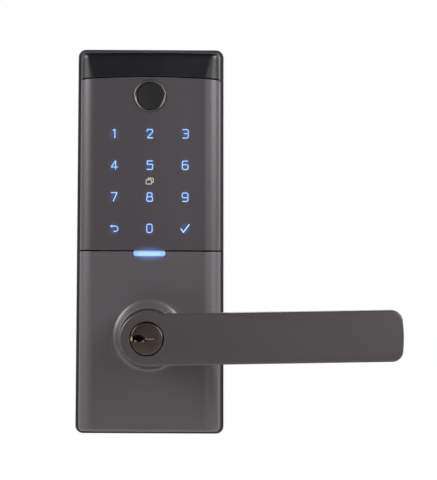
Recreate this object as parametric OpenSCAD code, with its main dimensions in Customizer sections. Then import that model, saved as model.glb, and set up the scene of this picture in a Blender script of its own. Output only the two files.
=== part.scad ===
// Outside half of a keypad door lock with a key-in-lever cylinder.
// The origin is where the spindle axis meets the door's face: +X to the right, +Y into the door, +Z up.
// Heights above the door, which run towards -Y, are called low and high below.

/* [Body] */
// Height of the rear housing
body_h = 178.5; // [178:0.5:186]
// Width of the rear housing at its lower end
body_w = 69; // [69:0.1:72]
// Width of the rear housing at its upper end
body_w_top = 67.5; // [67.5:0.1:69]
// Distance from the spindle axis down to the lower end
axis_drop = 46.1; // [45:0.1:48]
// Corner radius of the rear housing
corner_r = 3.6; // [3:0.1:5]
// Height of the covers' front face above the door
face_high = 25; // [24.5:0.1:26]
// Height of the rear housing's rim above the door
rim_high = 12; // [11.5:0.1:12.5]
// How far the covers stand inside the rear housing's outline
cover_inset = 1.25; // [1:0.05:1.6]
// Wall thickness of the covers and the housing
wall = 2; // [1.8:0.1:2.2]
// Width of the covers' rounded shoulders
shoulder_w = 7; // [5:0.5:7]
// Depth of the covers' rounded shoulders
shoulder_d = 6; // [4:0.5:6]
// Height of the seam between the lower cover and the keypad above the spindle axis
seam_z = 39; // [39:0.1:40]
// Height of the seam under the top cap above the spindle axis
cap_seam_z = 119; // [118.9:0.1:120]
// Slope of the top cap's face, in degrees
cap_slope = 5; // [4:1:10]
// Thickness of the gasket
gasket_t = 1; // [0.8:0.1:1.2]

/* [Collar] */
// Radius of the collar where its flare meets the cover
flare_r = 17.2; // [17:0.1:18]
// Radius of the collar's rim
rim_r = 13.6; // [13.5:0.1:14]
// Height of the collar's rim above the door
collar_high = 34; // [33.8:0.1:34.2]

/* [Lever] */
// Distance from the spindle axis to the lever's tip
lever_l = 114; // [90:0.5:125]
// Height of the lever's round hub
lever_h = 24.2; // [24:0.1:24.4]
// Height of the lever's bar
bar_h = 23; // [20:0.1:24]
// How far the bar's centre line lies below the spindle axis
bar_drop = 0.5; // [0:0.1:0.6]
// Thickness of the lever
lever_t = 13; // [12:0.5:13]
// Height of the lever's front face above the door
lever_high = 58; // [57.8:0.1:58.2]
// Corner radius at the lever's tip
tip_r = 5; // [2:0.5:6]
// How far the lever's tip is raised above level at rest, in degrees
lever_tilt = 1.2; // [0:0.1:1.5]
// Turn of the lever each way that its stops allow, in degrees
lever_swing = 45; // [35:5:45]

/* [Key cylinder] */
// Radius of the cylinder's round body
cylinder_r = 7.6; // [7.5:0.05:7.6]
// Radius of the plug
plug_r = 6; // [5.8:0.05:6]
// Radius of the plug's front face
plug_face_r = 7.15; // [6.6:0.05:7.2]
// Number of pin stacks
pin_count = 5; // [4:1:5]
// Distance between pin stacks
pin_pitch = 3.8; // [3.6:0.1:3.8]

/* [Keypad] */
// Distance between the keypad's columns
key_pitch_x = 16.3; // [15:0.1:17]
// Height of the fingerprint sensor above the spindle axis
sensor_z = 110.5; // [110:0.1:110.6]
// Radius of the fingerprint sensor's face
sensor_r = 6.55; // [6:0.05:6.6]
// Width of the light bar
light_w = 15.2; // [12:0.2:18]
// Height of the light bar
light_h = 2.4; // [2:0.1:2.6]

/* [Mounting] */
// Distance between the two fixing posts
post_pitch = 38; // [38:0.5:39]
// Radius of the fixing posts' threaded bores
post_bore_r = 2.1; // [1.6:0.05:2.2]
// Length of the fixing posts behind the door's face
post_reach = 14; // [8:1:20]
// Height of the upper post above the spindle axis
upper_post_z = 100; // [98:1:102]
// Side of the square spindle
spindle_side = 7.6; // [7.4:0.1:7.6]
// Length of the square spindle behind the door's face
spindle_reach = 35; // [25:1:45]
// Length of the tailpiece behind the door's face
tail_reach = 42; // [36:1:60]
// Radius of the cable outlet
cable_r = 4; // [3:0.5:4]

/* [Clutch] */
// Travel of the clutch shoe and pin
clutch_travel = 2.2; // [1.8:0.1:2.2]
// Pitch of the motor's screw
screw_pitch = 1.1; // [0.8:0.1:1.4]

/* [Hidden] */
$fn = 64;
eps = 0.01;
far = 200;
base_z = -axis_drop;
top_z = base_z + body_h;
taper = atan((body_w - body_w_top) / 2 / body_h);
floor_high = gasket_t + wall;
plate_t = 2;
plate_high = floor_high + plate_t;
seam_gap = 0.4;
fit = 0.05;
inner_high = face_high - wall;

// Round parts about the spindle axis
sleeve_r = 9.2;
sleeve_in = 7.9;
flange_low = 9.5;
flange_high = 14.6;
flange_r = 11.8;
bush_low = 22;
bush_high = 31.2;
bush_flange_t = 1;
bush_r = 11;
collar_in = 12.5;
lever_back = collar_high - 1.25;
bar_back = lever_high - lever_t;
sleeve_high = 44;
set_screw_high = 39.5;
hub_disc_low = 5.2;
hub_disc_high = 9.2;
hub_disc_r = 11;
hub_high = 14;
journal_r = 6.5;
journal_low = 1.5;

// Key cylinder
cylinder_low = 34;
cylinder_high = lever_high - 2;
plug_low = 32.5;
plug_high = lever_high - 0.6;
plug_face_low = cylinder_high + 0.15;
bible_w = 6.8;
bible_top = 10.4;
bible_high = 55.5;
pin_r = 1.4;
first_pin = 38;
pin_places = [for (i = [0:pin_count - 1]) first_pin + i * pin_pitch];
cap_t = 0.8;

// Clutch
clutch_mid = 12;
pin_tip = 5.75;
pin_head_r = 1.8;
pin_head_t = 0.9;
pin_top = 12.45;
shoe_r = pin_top + clutch_travel + fit;
shoe_t = 2.8;
shoe_spread = 50;
nut_w = 8;
nut_low_z = 19.6;
nut_top_z = 29;
screw_r = 1.5;
screw_tip_z = 19.5;
sleeve_low_z = 32;
motor_z = 36;
motor_w = 12;
motor_d = 10;
motor_top_z = motor_z + 24;
lead_end_z = 64.5;

// Spring stops
tab_w = 3;
tab_r = 16;
tab_root = 9.8;
tab_clear = 12.4;
tab_high = 21.4;
stop_r = 1.8;
stop_at = 14.2;
stop_angle = lever_swing + 13.8;

// Keypad and boards
rows = [49.1, 63.8, 78, 92.8];
card_icon_z = 71.2;
key_places = concat(
    [for (z = rows) for (i = [-1:1]) [i * key_pitch_x, z]],
    [[0, card_icon_z]]);
ring_flange_r = 8.6;
board_t = 1.2;
touch_low = 19;
touch_high = touch_low + board_t;
touch_z = [43.5, 102.8];
touch_w = 55;
guide_w = 43;
guide_h = 56.4;
main_low = 8;
main_t = 1.6;
main_high = main_low + main_t;
main_z = [62.5, 124];
main_w = 48;
spacer_places = [for (x = [-20, 20]) for (z = [66, 120]) [x, z]];
touch_screw_places = [for (x = [-24.5, 24.5]) for (z = [60, 99]) [x, z]];
cover_screw_x = 28.5;
cover_screw_z = [-36, 30, 50, 112];
plate_screw_places = [for (x = [-19, 19]) for (z = [-34, 52]) [x, z]];
grommet_at = [15, 15];
light_z = seam_z - seam_gap / 2 - light_h / 2;

// ---- Helpers -------------------------------------------------------------

// A profile of radius and height, turned about the spindle axis
module spun() rotate([90, 0, 0]) rotate_extrude($fn = 96) children();

// An outline in X and Z, thickened between two heights
module slab(low, high)
    translate([0, -low, 0]) rotate([90, 0, 0]) linear_extrude(high - low) children();

// A round bar along Y at a place in X and Z
module peg(r, low, high, at = [0, 0])
    translate([at[0], -low, at[1]]) rotate([90, 0, 0]) cylinder(r = r, h = high - low);

// A block centred on a place in X and Z
module block(w, h, low, high, at = [0, 0])
    translate([at[0] - w / 2, -high, at[1] - h / 2]) cube([w, high - low, h]);

// A tube about the spindle axis
module ring(r_in, r_out, low, high)
    spun() translate([r_in, low]) square([r_out - r_in, high - low]);

function arc(at, r, from, to, steps = 10) =
    [for (i = [0:steps]) let (a = from + (to - from) * i / steps) at + r * [cos(a), sin(a)]];

function half_w(z) = body_w / 2 - tan(taper) * (z - base_z);

// The body's tapering outline with rounded corners
module body_outline(inset, r) {
    low = half_w(base_z) - inset - r;
    high = half_w(top_z) - inset - r;
    z0 = base_z + inset + r;
    z1 = top_z - inset - r;
    polygon(concat(
        arc([low, z0], r, -90, 0), arc([high, z1], r, 0, 90),
        arc([-high, z1], r, 90, 180), arc([-low, z0], r, 180, 270)));
}

// Everything inside one shoulder of the covers, as a bar that follows the taper
module shoulder_side(inset, low, high) {
    w = shoulder_w - inset;
    d = shoulder_d;
    curve = [for (i = [0:10]) let (a = 90 * i / 10) [-w + w * cos(a), -(high - d + d * sin(a))]];
    translate([half_w(base_z) - cover_inset - inset, 0, base_z]) rotate([0, -taper, 0])
        translate([0, 0, -20]) linear_extrude(body_h + 40)
            polygon(concat([[-far, -low], [0, -low]], curve, [[-far, -high]]));
}

module cover_form(inset, low, high, z0, z1) {
    intersection() {
        shoulder_side(inset, low, high);
        mirror([1, 0, 0]) shoulder_side(inset, low, high);
        slab(low, high) intersection() {
            body_outline(cover_inset + inset, corner_r - 1);
            translate([-far / 2, z0]) square([far, z1 - z0]);
        }
    }
}

module cover_shell(z0, z1) {
    difference() {
        cover_form(0, rim_high, face_high, z0, z1);
        cover_form(wall, rim_high - 1, inner_high, z0 - 1, z1 + 1);
    }
}

function unit(v) = v / norm(v);
function along(path, i) = unit(path[min(i + 1, len(path) - 1)] - path[max(i - 1, 0)]);

// A round wire swept along a path that never runs parallel to Z
module wire(path, r, sides = 8) {
    last = len(path) - 1;
    points = [
        for (i = [0:last]) let (t = along(path, i), s = unit(cross(t, [0, 0, 1])), u = cross(s, t))
            for (k = [0:sides - 1]) path[i] + r * (cos(360 * k / sides) * s + sin(360 * k / sides) * u)];
    start_cap = [for (k = [0:sides - 1]) k];
    end_cap = [for (k = [0:sides - 1]) last * sides + sides - 1 - k];
    walls = [
        for (i = [0:last - 1]) for (k = [0:sides - 1]) let (n = (k + 1) % sides)
            [i * sides + k, (i + 1) * sides + k, (i + 1) * sides + n, i * sides + n]];
    polyhedron(points = points, faces = concat([start_cap, end_cap], walls), convexity = 6);
}

function helix(r, turns, h, steps = 16, from = 0) =
    [for (i = [0:turns * steps]) let (a = from + 360 * i / steps)
        [r * cos(a), r * sin(a), h * i / (turns * steps)]];

// A pan-head screw along Y: its head is at head_high, and its tip at tip
module pan_screw(r, head_r, head_t, seat, tip, at) {
    out = seat > tip ? 1 : -1;
    peg(r, min(seat, tip), max(seat, tip), at);
    difference() {
        peg(head_r, min(seat, seat + out * head_t), max(seat, seat + out * head_t), at);
        recess = seat + out * head_t * 0.4;
        crown = seat + out * (head_t + 1);
        for (w = [[head_r * 1.1, head_r * 0.3], [head_r * 0.3, head_r * 1.1]])
            block(w[0], w[1], min(recess, crown), max(recess, crown), at);
    }
}

// ---- Body ----------------------------------------------------------------

module gasket() color("#1c1c1e") slab(0, gasket_t) difference() {
    body_outline(1.5, corner_r - 1);
    body_outline(7.5, 2);
}

module cover_screw_sites() for (x = [-cover_screw_x, cover_screw_x]) for (z = cover_screw_z)
    translate([x, 0, z]) children();

module rear_housing() color("#232226") difference() {
    union() {
        slab(gasket_t, rim_high) difference() {
            body_outline(0, corner_r);
            body_outline(wall, corner_r - 1);
        }
        slab(gasket_t, floor_high) body_outline(0.5, corner_r);
        cover_screw_sites() peg(3.6, gasket_t, plate_high);
    }
    cover_screw_sites() {
        peg(1.6, 0, rim_high);
        peg(3, 0, 3.4);
    }
    peg(journal_r + 0.5, 0, rim_high);
    for (z = [-post_pitch / 2, post_pitch / 2]) peg(3.75, 0, rim_high, [0, z]);
    peg(3.35, 0, rim_high, [0, upper_post_z]);
    peg(cable_r + 1, 0, rim_high, grommet_at);
    for (at = plate_screw_places) peg(1.3, gasket_t - 1, rim_high, at);
}

module back_plate() color("#8d9094") difference() {
    slab(floor_high, plate_high) translate([-23.5, base_z + 5]) square([47, body_h - 14]);
    peg(journal_r + fit, 0, rim_high);
    for (z = [-post_pitch / 2, post_pitch / 2]) peg(3.65, 0, rim_high, [0, z]);
    peg(3.25, 0, rim_high, [0, upper_post_z]);
    peg(cable_r + 1, 0, rim_high, grommet_at);
    for (at = plate_screw_places) peg(1.6, 0, rim_high, at);
    for (at = spacer_places) peg(1.1, 0, rim_high, at);
    for (x = [-7, 7]) peg(1.1, 0, rim_high, [x, 64.5]);
    for (x = [-1, 1]) peg(stop_r - 0.3, 0, rim_high, stop_at * [x * sin(stop_angle), -cos(stop_angle)]);
    slab(floor_high - 1, plate_high + 1) for (z = [82, -34]) translate([-9, z - 3]) square([18, 6]);
}

module plate_screws() color("#a8abb0")
    for (at = plate_screw_places) pan_screw(1.25, 2.7, 1.8, plate_high, gasket_t + 0.2, at);

module cover_screws() color("#a8abb0")
    for (x = [-cover_screw_x, cover_screw_x]) for (z = cover_screw_z)
        pan_screw(1.45, 2.7, 1.9, 3.4, 16, [x, z]);

module threaded_post(outer_r, bore_r, reach, at) difference() {
    union() {
        peg(outer_r, -reach, plate_high, at);
        peg(outer_r + 1.4, plate_high, plate_high + 1.2, at);
    }
    peg(bore_r, -reach - 1, 3, at);
}

module fixing_posts() color("#a8abb0") {
    for (z = [-post_pitch / 2, post_pitch / 2]) threaded_post(3.6, post_bore_r, post_reach, [0, z]);
    peg(1.6, plate_high + 1.2 - eps, tab_high, [0, -post_pitch / 2]);
}

module upper_post() color("#a8abb0") threaded_post(3.2, 1.65, post_reach - 2, [0, upper_post_z]);

module cable_grommet() color("#1c1c1e") translate([grommet_at[0], 0, grommet_at[1]]) {
    ring(cable_r, cable_r + 1, 0.1, plate_high + 1.2);
    ring(cable_r + 1 - eps, cable_r + 2.4, 0.1, gasket_t);
    ring(cable_r + 1 - eps, cable_r + 2.4, plate_high, plate_high + 1.2);
}

// ---- Covers --------------------------------------------------------------

// Half section of the collar: a concave flare that rises to a flat rim
module collar_profile() {
    rise = collar_high - 1.2 - face_high;
    sweep = [for (i = [0:12]) let (a = 90 * i / 12)
        [flare_r - (flare_r - rim_r) * sin(a), face_high + rise * (1 - cos(a))]];
    polygon(concat(
        [[bush_r, bush_low], [rim_r, bush_low], [rim_r, inner_high - 1], [flare_r, inner_high - 1]],
        sweep,
        [[rim_r, collar_high - 0.4], [rim_r - 0.4, collar_high], [collar_in, collar_high],
         [collar_in, bush_high], [bush_r, bush_high]]));
}

module lower_cover() color("#59545a") difference() {
    union() {
        difference() {
            union() {
                cover_shell(base_z, seam_z - seam_gap / 2);
                for (x = [-cover_screw_x, cover_screw_x]) for (i = [0, 1])
                    peg(3.2, plate_high + 0.2, inner_high + eps, [x, cover_screw_z[i]]);
            }
            peg(bush_r + 1, 0, far);
        }
        spun() collar_profile();
    }
    for (x = [-cover_screw_x, cover_screw_x]) for (i = [0, 1])
        peg(1.5, 0, 17, [x, cover_screw_z[i]]);
    block(light_w + 0.1, light_h + 1, inner_high - 1, far, [0, light_z + 0.45]);
}

module keypad_panel() color("#4b464a") difference() {
    union() {
        cover_shell(seam_z + seam_gap / 2, cap_seam_z - seam_gap / 2);
        for (x = [-cover_screw_x, cover_screw_x]) for (i = [2, 3])
            peg(3.2, plate_high + 0.2, inner_high + eps, [x, cover_screw_z[i]]);
        for (at = touch_screw_places) peg(2.4, touch_high, inner_high + eps, at);
    }
    for (x = [-cover_screw_x, cover_screw_x]) for (i = [2, 3])
        peg(1.5, 0, 17, [x, cover_screw_z[i]]);
    for (at = touch_screw_places) peg(1.05, 0, inner_high - 0.4, at);
    peg(sensor_r + 1.05, 0, far, [0, sensor_z]);
}

module sloped_cut(drop) translate([0, -(face_high - drop), cap_seam_z + seam_gap / 2])
    rotate([cap_slope, 0, 0]) translate([-far / 2, -far, -5]) cube([far, far, far]);

module top_cap() color("#1b191e") {
    difference() {
        cover_form(0, rim_high, face_high, cap_seam_z + seam_gap / 2, top_z);
        sloped_cut(0);
        difference() {
            cover_form(wall, rim_high - 1, inner_high, cap_seam_z - 1, top_z);
            sloped_cut(wall);
        }
    }
    for (x = [-18, 18]) {
        block(8, 6, inner_high - 1.6, inner_high - 0.1, [x, cap_seam_z - 0.5]);
        block(8, 2.4, inner_high - 0.11, inner_high + 0.6, [x, cap_seam_z + 1.6]);
    }
}

// ---- Light bar and fingerprint sensor -------------------------------------

module light_bar() color("#bfe0ff") {
    slab(inner_high - 3, face_high + 0.3) intersection() {
        translate([-light_w / 2, light_z - light_h / 2]) square([light_w, light_h]);
        union() {
            translate([-light_w / 2 + 0.6, light_z - light_h / 2]) square([light_w - 1.2, light_h]);
            for (x = [-1, 1]) for (z = [-1, 1])
                translate([x * (light_w / 2 - 0.6), light_z + z * (light_h / 2 - 0.6)]) circle(0.6);
            translate([-light_w / 2, light_z - light_h / 2 + 0.6]) square([light_w, light_h - 1.2]);
        }
    }
}

module light_board() color("#1d5a38") difference() {
    block(26, 8, touch_low - 0.6, inner_high - 3, [0, light_z]);
    for (x = [-10.5, 10.5]) peg(1.1, 0, far, [x, light_z]);
}

module fingerprint_ring() color("#5c575b") translate([0, 0, sensor_z]) spun() polygon([
    [sensor_r + 0.1, inner_high - 1.4], [ring_flange_r, inner_high - 1.4], [ring_flange_r, inner_high],
    [sensor_r + 1, inner_high], [sensor_r + 1, face_high + 0.25], [sensor_r + 0.7, face_high + 0.4],
    [sensor_r + 0.1, face_high - 0.4]]);

module fingerprint_sensor() color("#232226") {
    peg(sensor_r, 18, face_high - 0.5, [0, sensor_z]);
    block(12, 12, 16.4, 18 + eps, [0, sensor_z]);
    block(16, 13.6, 15.4, 16.4, [0, sensor_z]);
}

// ---- Boards ---------------------------------------------------------------

module keypad_light_guide() color("#e8e8e4") difference() {
    slab(touch_high, inner_high - fit) translate([-guide_w / 2, touch_z[0] + 1]) square([guide_w, guide_h]);
    for (at = key_places) block(2.2, 1.4, touch_high - eps, touch_high + 0.8, at);
}

module touch_board() color("#1d5a38") difference() {
    slab(touch_low, touch_high) translate([-touch_w / 2, touch_z[0]])
        square([touch_w, touch_z[1] - touch_z[0]]);
    for (at = touch_screw_places) peg(1.3, 0, far, at);
    for (x = [-cover_screw_x, cover_screw_x]) peg(3.6, 0, far, [x, cover_screw_z[2]]);
}

module key_leds() color("#cfe6ff")
    for (at = key_places) block(1.6, 0.8, touch_high, touch_high + 0.6, at);

module card_antenna() color("#b87333") for (i = [0:3]) {
    w = 42 - i * 2.4;
    h = 46 - i * 2.4;
    slab(touch_low - 0.2, touch_low) difference() {
        translate([-w / 2, 73 - h / 2]) square([w, h]);
        translate([-w / 2 + 0.7, 73 - h / 2 + 0.7]) square([w - 1.4, h - 1.4]);
    }
}

module main_board() color("#1d5a38") difference() {
    slab(main_low, main_high) translate([-main_w / 2, main_z[0]])
        square([main_w, main_z[1] - main_z[0]]);
    for (at = spacer_places) peg(1.3, 0, far, at);
}

module board_spacers() color("#c9a86a") for (at = spacer_places) difference() {
    translate([at[0], -plate_high, at[1]]) rotate([90, 0, 0])
        cylinder(r = 2.6, h = main_low - plate_high, $fn = 6);
    peg(1.05, 0, far, at);
}

module board_screws() color("#a8abb0") {
    for (at = spacer_places) pan_screw(1, 2, 1.4, main_high, 3.4, at);
    for (at = touch_screw_places) pan_screw(1, 2, 1.4, touch_low, inner_high - 0.5, at);
}

module board_chips() color("#18181a") {
    block(10, 10, main_high, main_high + 1.1, [-6, 92]);
    block(6, 5, main_high, main_high + 1, [9, 96]);
    block(5, 4, main_high, main_high + 0.9, [-17, 80]);
    block(5, 4, main_high, main_high + 0.9, [10, 84]);
    for (z = [100:4:116]) block(3.2, 1.6, main_high, main_high + 1.2, [-18, z]);
    for (z = [76:3:88]) block(1.6, 0.9, main_high, main_high + 0.6, [18, z]);
}

module board_connectors() color("#e9e4d4") {
    block(12, 3, main_high, main_high + 2, [0, 117]);
    block(12, 3, main_high, main_high + 2, [0, 73.5]);
    block(8, 4, main_high, main_high + 3, [-14, 66.5]);
    block(9, 4, main_high, main_high + 3.6, [0, lead_end_z + 2]);
}

module buzzer() color("#18181a") difference() {
    peg(5, main_high, main_high + 3.2, [13, 110]);
    peg(0.9, main_high + 2, far, [13, 110]);
}

// A flat ribbon whose side view is a chain of heights and Z places
module ribbon(w, t, chain) rotate([90, 0, 90]) translate([0, 0, -w / 2])
    for (i = [0:len(chain) - 2]) linear_extrude(w) ribbon_step(chain[i], chain[i + 1], t);

module ribbon_step(from, to, t) {
    level = from[1] == to[1];
    low = [min(from[0], to[0]), min(from[1], to[1])];
    span = [abs(from[0] - to[0]), abs(from[1] - to[1])];
    translate([-low[0] - span[0] - (level ? 0 : t / 2), low[1] - (level ? t / 2 : 0)])
        square([span[0] + (level ? 0 : t), span[1] + (level ? t : 0)]);
}

module sensor_flex() color("#b8742c")
    ribbon(8, 0.3, [[15.4, 116.4], [12.6, 116.4], [12.6, 117.2], [main_high + 2, 117.2]]);

module touch_flex() color("#b8742c")
    ribbon(8, 0.3, [[touch_low, 75], [14.2, 75], [14.2, 73.6], [main_high + 2, 73.6]]);

// ---- Clutch ---------------------------------------------------------------

module motor_bracket() color("#8d9094") difference() {
    union() {
        slab(plate_high, plate_high + 1.4) translate([-9.4, 25]) square([18.8, 41.5]);
        for (x = [-1, 1]) {
            block(2, 11, plate_high, 14.5, [x * (nut_w / 2 + fit + 1), 30.5]);
            block(1.4, 20, plate_high, 15, [x * (motor_w / 2 + 0.75), 48]);
        }
    }
    for (x = [-7, 7]) peg(1.3, 0, far, [x, 64.5]);
}

module bracket_screws() color("#a8abb0")
    for (x = [-7, 7]) pan_screw(1, 2, 1.2, plate_high + 1.4, 3.4, [x, 64.5]);

module clutch_motor() color("#9a9ca0") {
    low = clutch_mid - motor_d / 2;
    difference() {
        block(motor_w, 9, low, low + motor_d, [0, motor_z + 4.5]);
        translate([0, -clutch_mid, motor_z - 1]) cylinder(r = screw_r + fit, h = 6);
    }
    intersection() {
        translate([0, -clutch_mid, motor_z + 9 - eps]) cylinder(r = 6, h = 15);
        block(motor_w, 20, low, low + motor_d, [0, motor_z + 17]);
    }
    translate([0, -clutch_mid, motor_z + 24 - 2 * eps]) cylinder(r = 2.4, h = 1);
}

module motor_leads() for (x = [-3.6, 3.6]) color(x > 0 ? "#b3241f" : "#202020")
    translate([x, -clutch_mid, motor_top_z]) cylinder(r = 0.55, h = lead_end_z - motor_top_z);

// Screw with ridged threads and the collar that joins it to the motor
module motor_screw() color("#c9a86a") {
    ridges = floor((sleeve_low_z - screw_tip_z) / screw_pitch);
    translate([0, -clutch_mid, 0]) rotate_extrude() polygon(concat(
        [[0, screw_tip_z], [screw_r - 0.4, screw_tip_z]],
        [for (i = [0:ridges - 1]) for (p = [[screw_r - 0.4, 0.1], [screw_r, 0.5], [screw_r - 0.4, 0.9]])
            [p[0], screw_tip_z + (i + p[1]) * screw_pitch]],
        [[screw_r - 0.4, sleeve_low_z], [2.6, sleeve_low_z], [2.6, motor_z - 0.2],
         [screw_r, motor_z - 0.2], [screw_r, motor_z + 4.5], [0, motor_z + 4.5]]));
}

module clutch_shoe() color("#c8ccd0") difference() {
    union() {
        translate([0, 0, -clutch_travel]) slab(clutch_mid - shoe_t / 2, clutch_mid + shoe_t / 2)
            polygon(concat(
                arc([0, 0], shoe_r, 90 - shoe_spread, 90 + shoe_spread, 24),
                arc([0, 0], shoe_r + 2.8, 90 + shoe_spread, 90 - shoe_spread, 24)));
        block(6, 6, clutch_mid - shoe_t / 2, clutch_mid + shoe_t / 2, [0, 17]);
        block(nut_w, nut_top_z - nut_low_z, clutch_mid - 4, clutch_mid + 3.5,
            [0, (nut_top_z + nut_low_z) / 2]);
    }
    translate([0, -clutch_mid, 16.8]) cylinder(r = screw_r + 0.1, h = 20);
}

module clutch_pin() color("#c8ccd0") translate([0, -clutch_mid, 0]) {
    translate([0, 0, pin_tip]) cylinder(r = 1.2, h = pin_top - pin_head_t - pin_tip + eps);
    translate([0, 0, pin_top - pin_head_t]) cylinder(r1 = pin_head_r, r2 = 0.9, h = pin_head_t);
}

module clutch_spring() color("#c8ccd0") translate([0, -clutch_mid, 9.6])
    wire(helix(1.55, 3, 1.7), 0.17, 6);

module spindle_hub() color("#b4b8bc") difference() {
    union() {
        peg(journal_r, journal_low, hub_disc_low + eps);
        peg(hub_disc_r, hub_disc_low, hub_disc_high);
        peg(sleeve_in - fit, hub_disc_high - eps, hub_high);
    }
    block(spindle_side + 0.1, spindle_side + 0.1, -1, hub_high + 1);
    translate([0, -clutch_mid, pin_tip - 0.15]) cylinder(r = 1.3, h = 10);
}

module square_spindle() color("#b4b8bc") difference() {
    block(spindle_side, spindle_side, -spindle_reach, hub_high - 0.5);
    peg(2.9, -spindle_reach - 1, hub_high + 1);
}

// ---- Lever ----------------------------------------------------------------

module lever_outline() {
    low = -bar_drop - bar_h / 2;
    high = -bar_drop + bar_h / 2;
    circle(lever_h / 2);
    polygon(concat(
        [[0, high], [0, low]],
        arc([lever_l - tip_r, low + tip_r], tip_r, -90, 0),
        arc([lever_l - tip_r, high - tip_r], tip_r, 0, 90)));
}

// Section of the lever's bar across its length, with a crisp front and a rounder back
module lever_section() {
    r = lever_h / 2;
    back = 3;
    front = 0.8;
    polygon(concat(
        arc([r - back, bar_back + back], back, -90, 0), arc([r - front, lever_high - front], front, 0, 90),
        arc([-r + front, lever_high - front], front, 90, 180),
        arc([-r + back, bar_back + back], back, 180, 270)));
}

module lever() color("#524e50") difference() {
    rotate([0, -lever_tilt, 0]) {
        intersection() {
            slab(bar_back, lever_high) lever_outline();
            translate([-20, 0, 0]) rotate([90, 0, 90]) linear_extrude(lever_l + 30)
                rotate(90) lever_section();
        }
        peg(lever_h / 2, lever_back, bar_back + eps);
    }
    peg(sleeve_r + fit, 0, sleeve_high + 0.2);
    peg(cylinder_r + 0.1, 0, far);
    block(bible_top + 0.4, bible_w + 0.6, lever_back - 1, bible_high + 0.3, [(bible_top + 0.4) / 2, 0]);
    translate([0, -set_screw_high, -20]) cylinder(r = 2.05, h = 12);
}

module drive_sleeve() color("#b4b8bc") difference() {
    union() {
        ring(sleeve_in, sleeve_r, flange_low, sleeve_high);
        ring(sleeve_r - eps, flange_r, flange_low, flange_high);
        block(tab_w, tab_r - tab_root, clutch_mid + 0.5, flange_high, [0, -(tab_r + tab_root) / 2]);
        block(tab_w, tab_r - tab_clear, flange_high - eps, tab_high, [0, -(tab_r + tab_clear) / 2]);
    }
    translate([0, -clutch_mid, 7]) cylinder(r = 1.25, h = 10);
    translate([0, -clutch_mid, 9.4]) cylinder(r = 2, h = 10);
    block(12, bible_w + 0.4, 33.5, far, [6, 0]);
    translate([0, -set_screw_high, -12]) cylinder(r = 1.6, h = 6);
}

module lever_washer() color("#e2ded2")
    ring(sleeve_r + fit, 12.1, bush_high + bush_flange_t, lever_back);

module lever_set_screw() color("#3a3a3d") difference() {
    translate([0, -set_screw_high, -11.7]) cylinder(r = 2, h = 2.4);
    translate([0, -set_screw_high, -12]) cylinder(r = 1.15, h = 1.6, $fn = 6);
}

module lever_bush() color("#c9a86a") {
    ring(sleeve_r + fit, bush_r, bush_low, bush_high);
    ring(sleeve_r + fit, 12.2, bush_high - eps, bush_high + bush_flange_t);
}

// Torsion spring whose two arms hold the sleeve's tab and the lower post between them
module lever_spring() color("#c8ccd0") {
    coil_r = 10.9;
    wire_r = 0.6;
    arm_x = 2.35;
    arm_r = post_pitch / 2 + 1.6;
    low = 15.9;
    high = 20.7;
    half = asin(arm_x / coil_r);
    turns = 3;
    body = [for (i = [0:turns * 24]) let (f = i / (turns * 24), a = -90 + half + f * (360 * turns - 2 * half))
        [coil_r * cos(a), coil_r * sin(a), low + f * (high - low)]];
    path = concat(
        [[arm_x, -arm_r, low], [arm_x, -tab_clear, low]], body,
        [[-arm_x, -tab_clear, high], [-arm_x, -arm_r, high]]);
    rotate([90, 0, 0]) wire(path, wire_r, 8);
}

module lever_stops() color("#a8abb0") for (x = [-1, 1]) {
    at = stop_at * [x * sin(stop_angle), -cos(stop_angle)];
    peg(stop_r - 0.3, floor_high, plate_high, at);
    peg(stop_r, plate_high, 18, at);
}

// ---- Key cylinder ----------------------------------------------------------

module cylinder_body() color("#6b5d52") difference() {
    union() {
        peg(cylinder_r, cylinder_low, cylinder_high);
        block(bible_top, bible_w, cylinder_low, bible_high, [bible_top / 2, 0]);
    }
    peg(plug_r + fit, 0, far);
    for (d = pin_places) translate([0, -d, 0]) rotate([0, 90, 0]) cylinder(r = pin_r + 0.1, h = 20);
}

module stack_pins(from, to) for (d = pin_places)
    translate([from, -d, 0]) rotate([0, 90, 0]) cylinder(r = pin_r, h = to - from);

module driver_pins() color("#c9a86a") stack_pins(plug_r + 0.12, plug_r + 1.9);

module pin_springs() color("#c8ccd0") for (d = pin_places)
    translate([plug_r + 2.1, -d, 0]) rotate([0, 90, 0]) wire(helix(0.95, 3, 1.3, 12), 0.16, 6);

module chamber_caps() color("#c9a86a") stack_pins(bible_top - cap_t, bible_top);

module cylinder_plug() color("#75675a") difference() {
    union() {
        peg(plug_r, plug_low, plug_high);
        peg(plug_face_r, plug_face_low, plug_high);
    }
    ring(plug_r - 0.8, plug_r + 1, 33.2, 33.9);
    block(4.8, 1.8, plug_low - 1, 35);
    for (d = pin_places) translate([0.4, -d, 0]) rotate([0, 90, 0]) cylinder(r = pin_r + 0.1, h = 10);
    block(5.2, 2.4, 36, far, [-3.9, 0]);
    block(6, 0.9, 36, far, [0.6, -0.5]);
}

module key_pins() color("#c9a86a") stack_pins(0.9, plug_r - 0.07);

module plug_clip() color("#3a3a3d") difference() {
    ring(plug_r - 0.75, plug_r + 1.2, 33.25, 33.85);
    block(3.4, 5, 33, 34, [0, -7]);
}

module tailpiece() color("#b4b8bc") block(4.6, 1.6, -tail_reach, 34.8);

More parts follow.
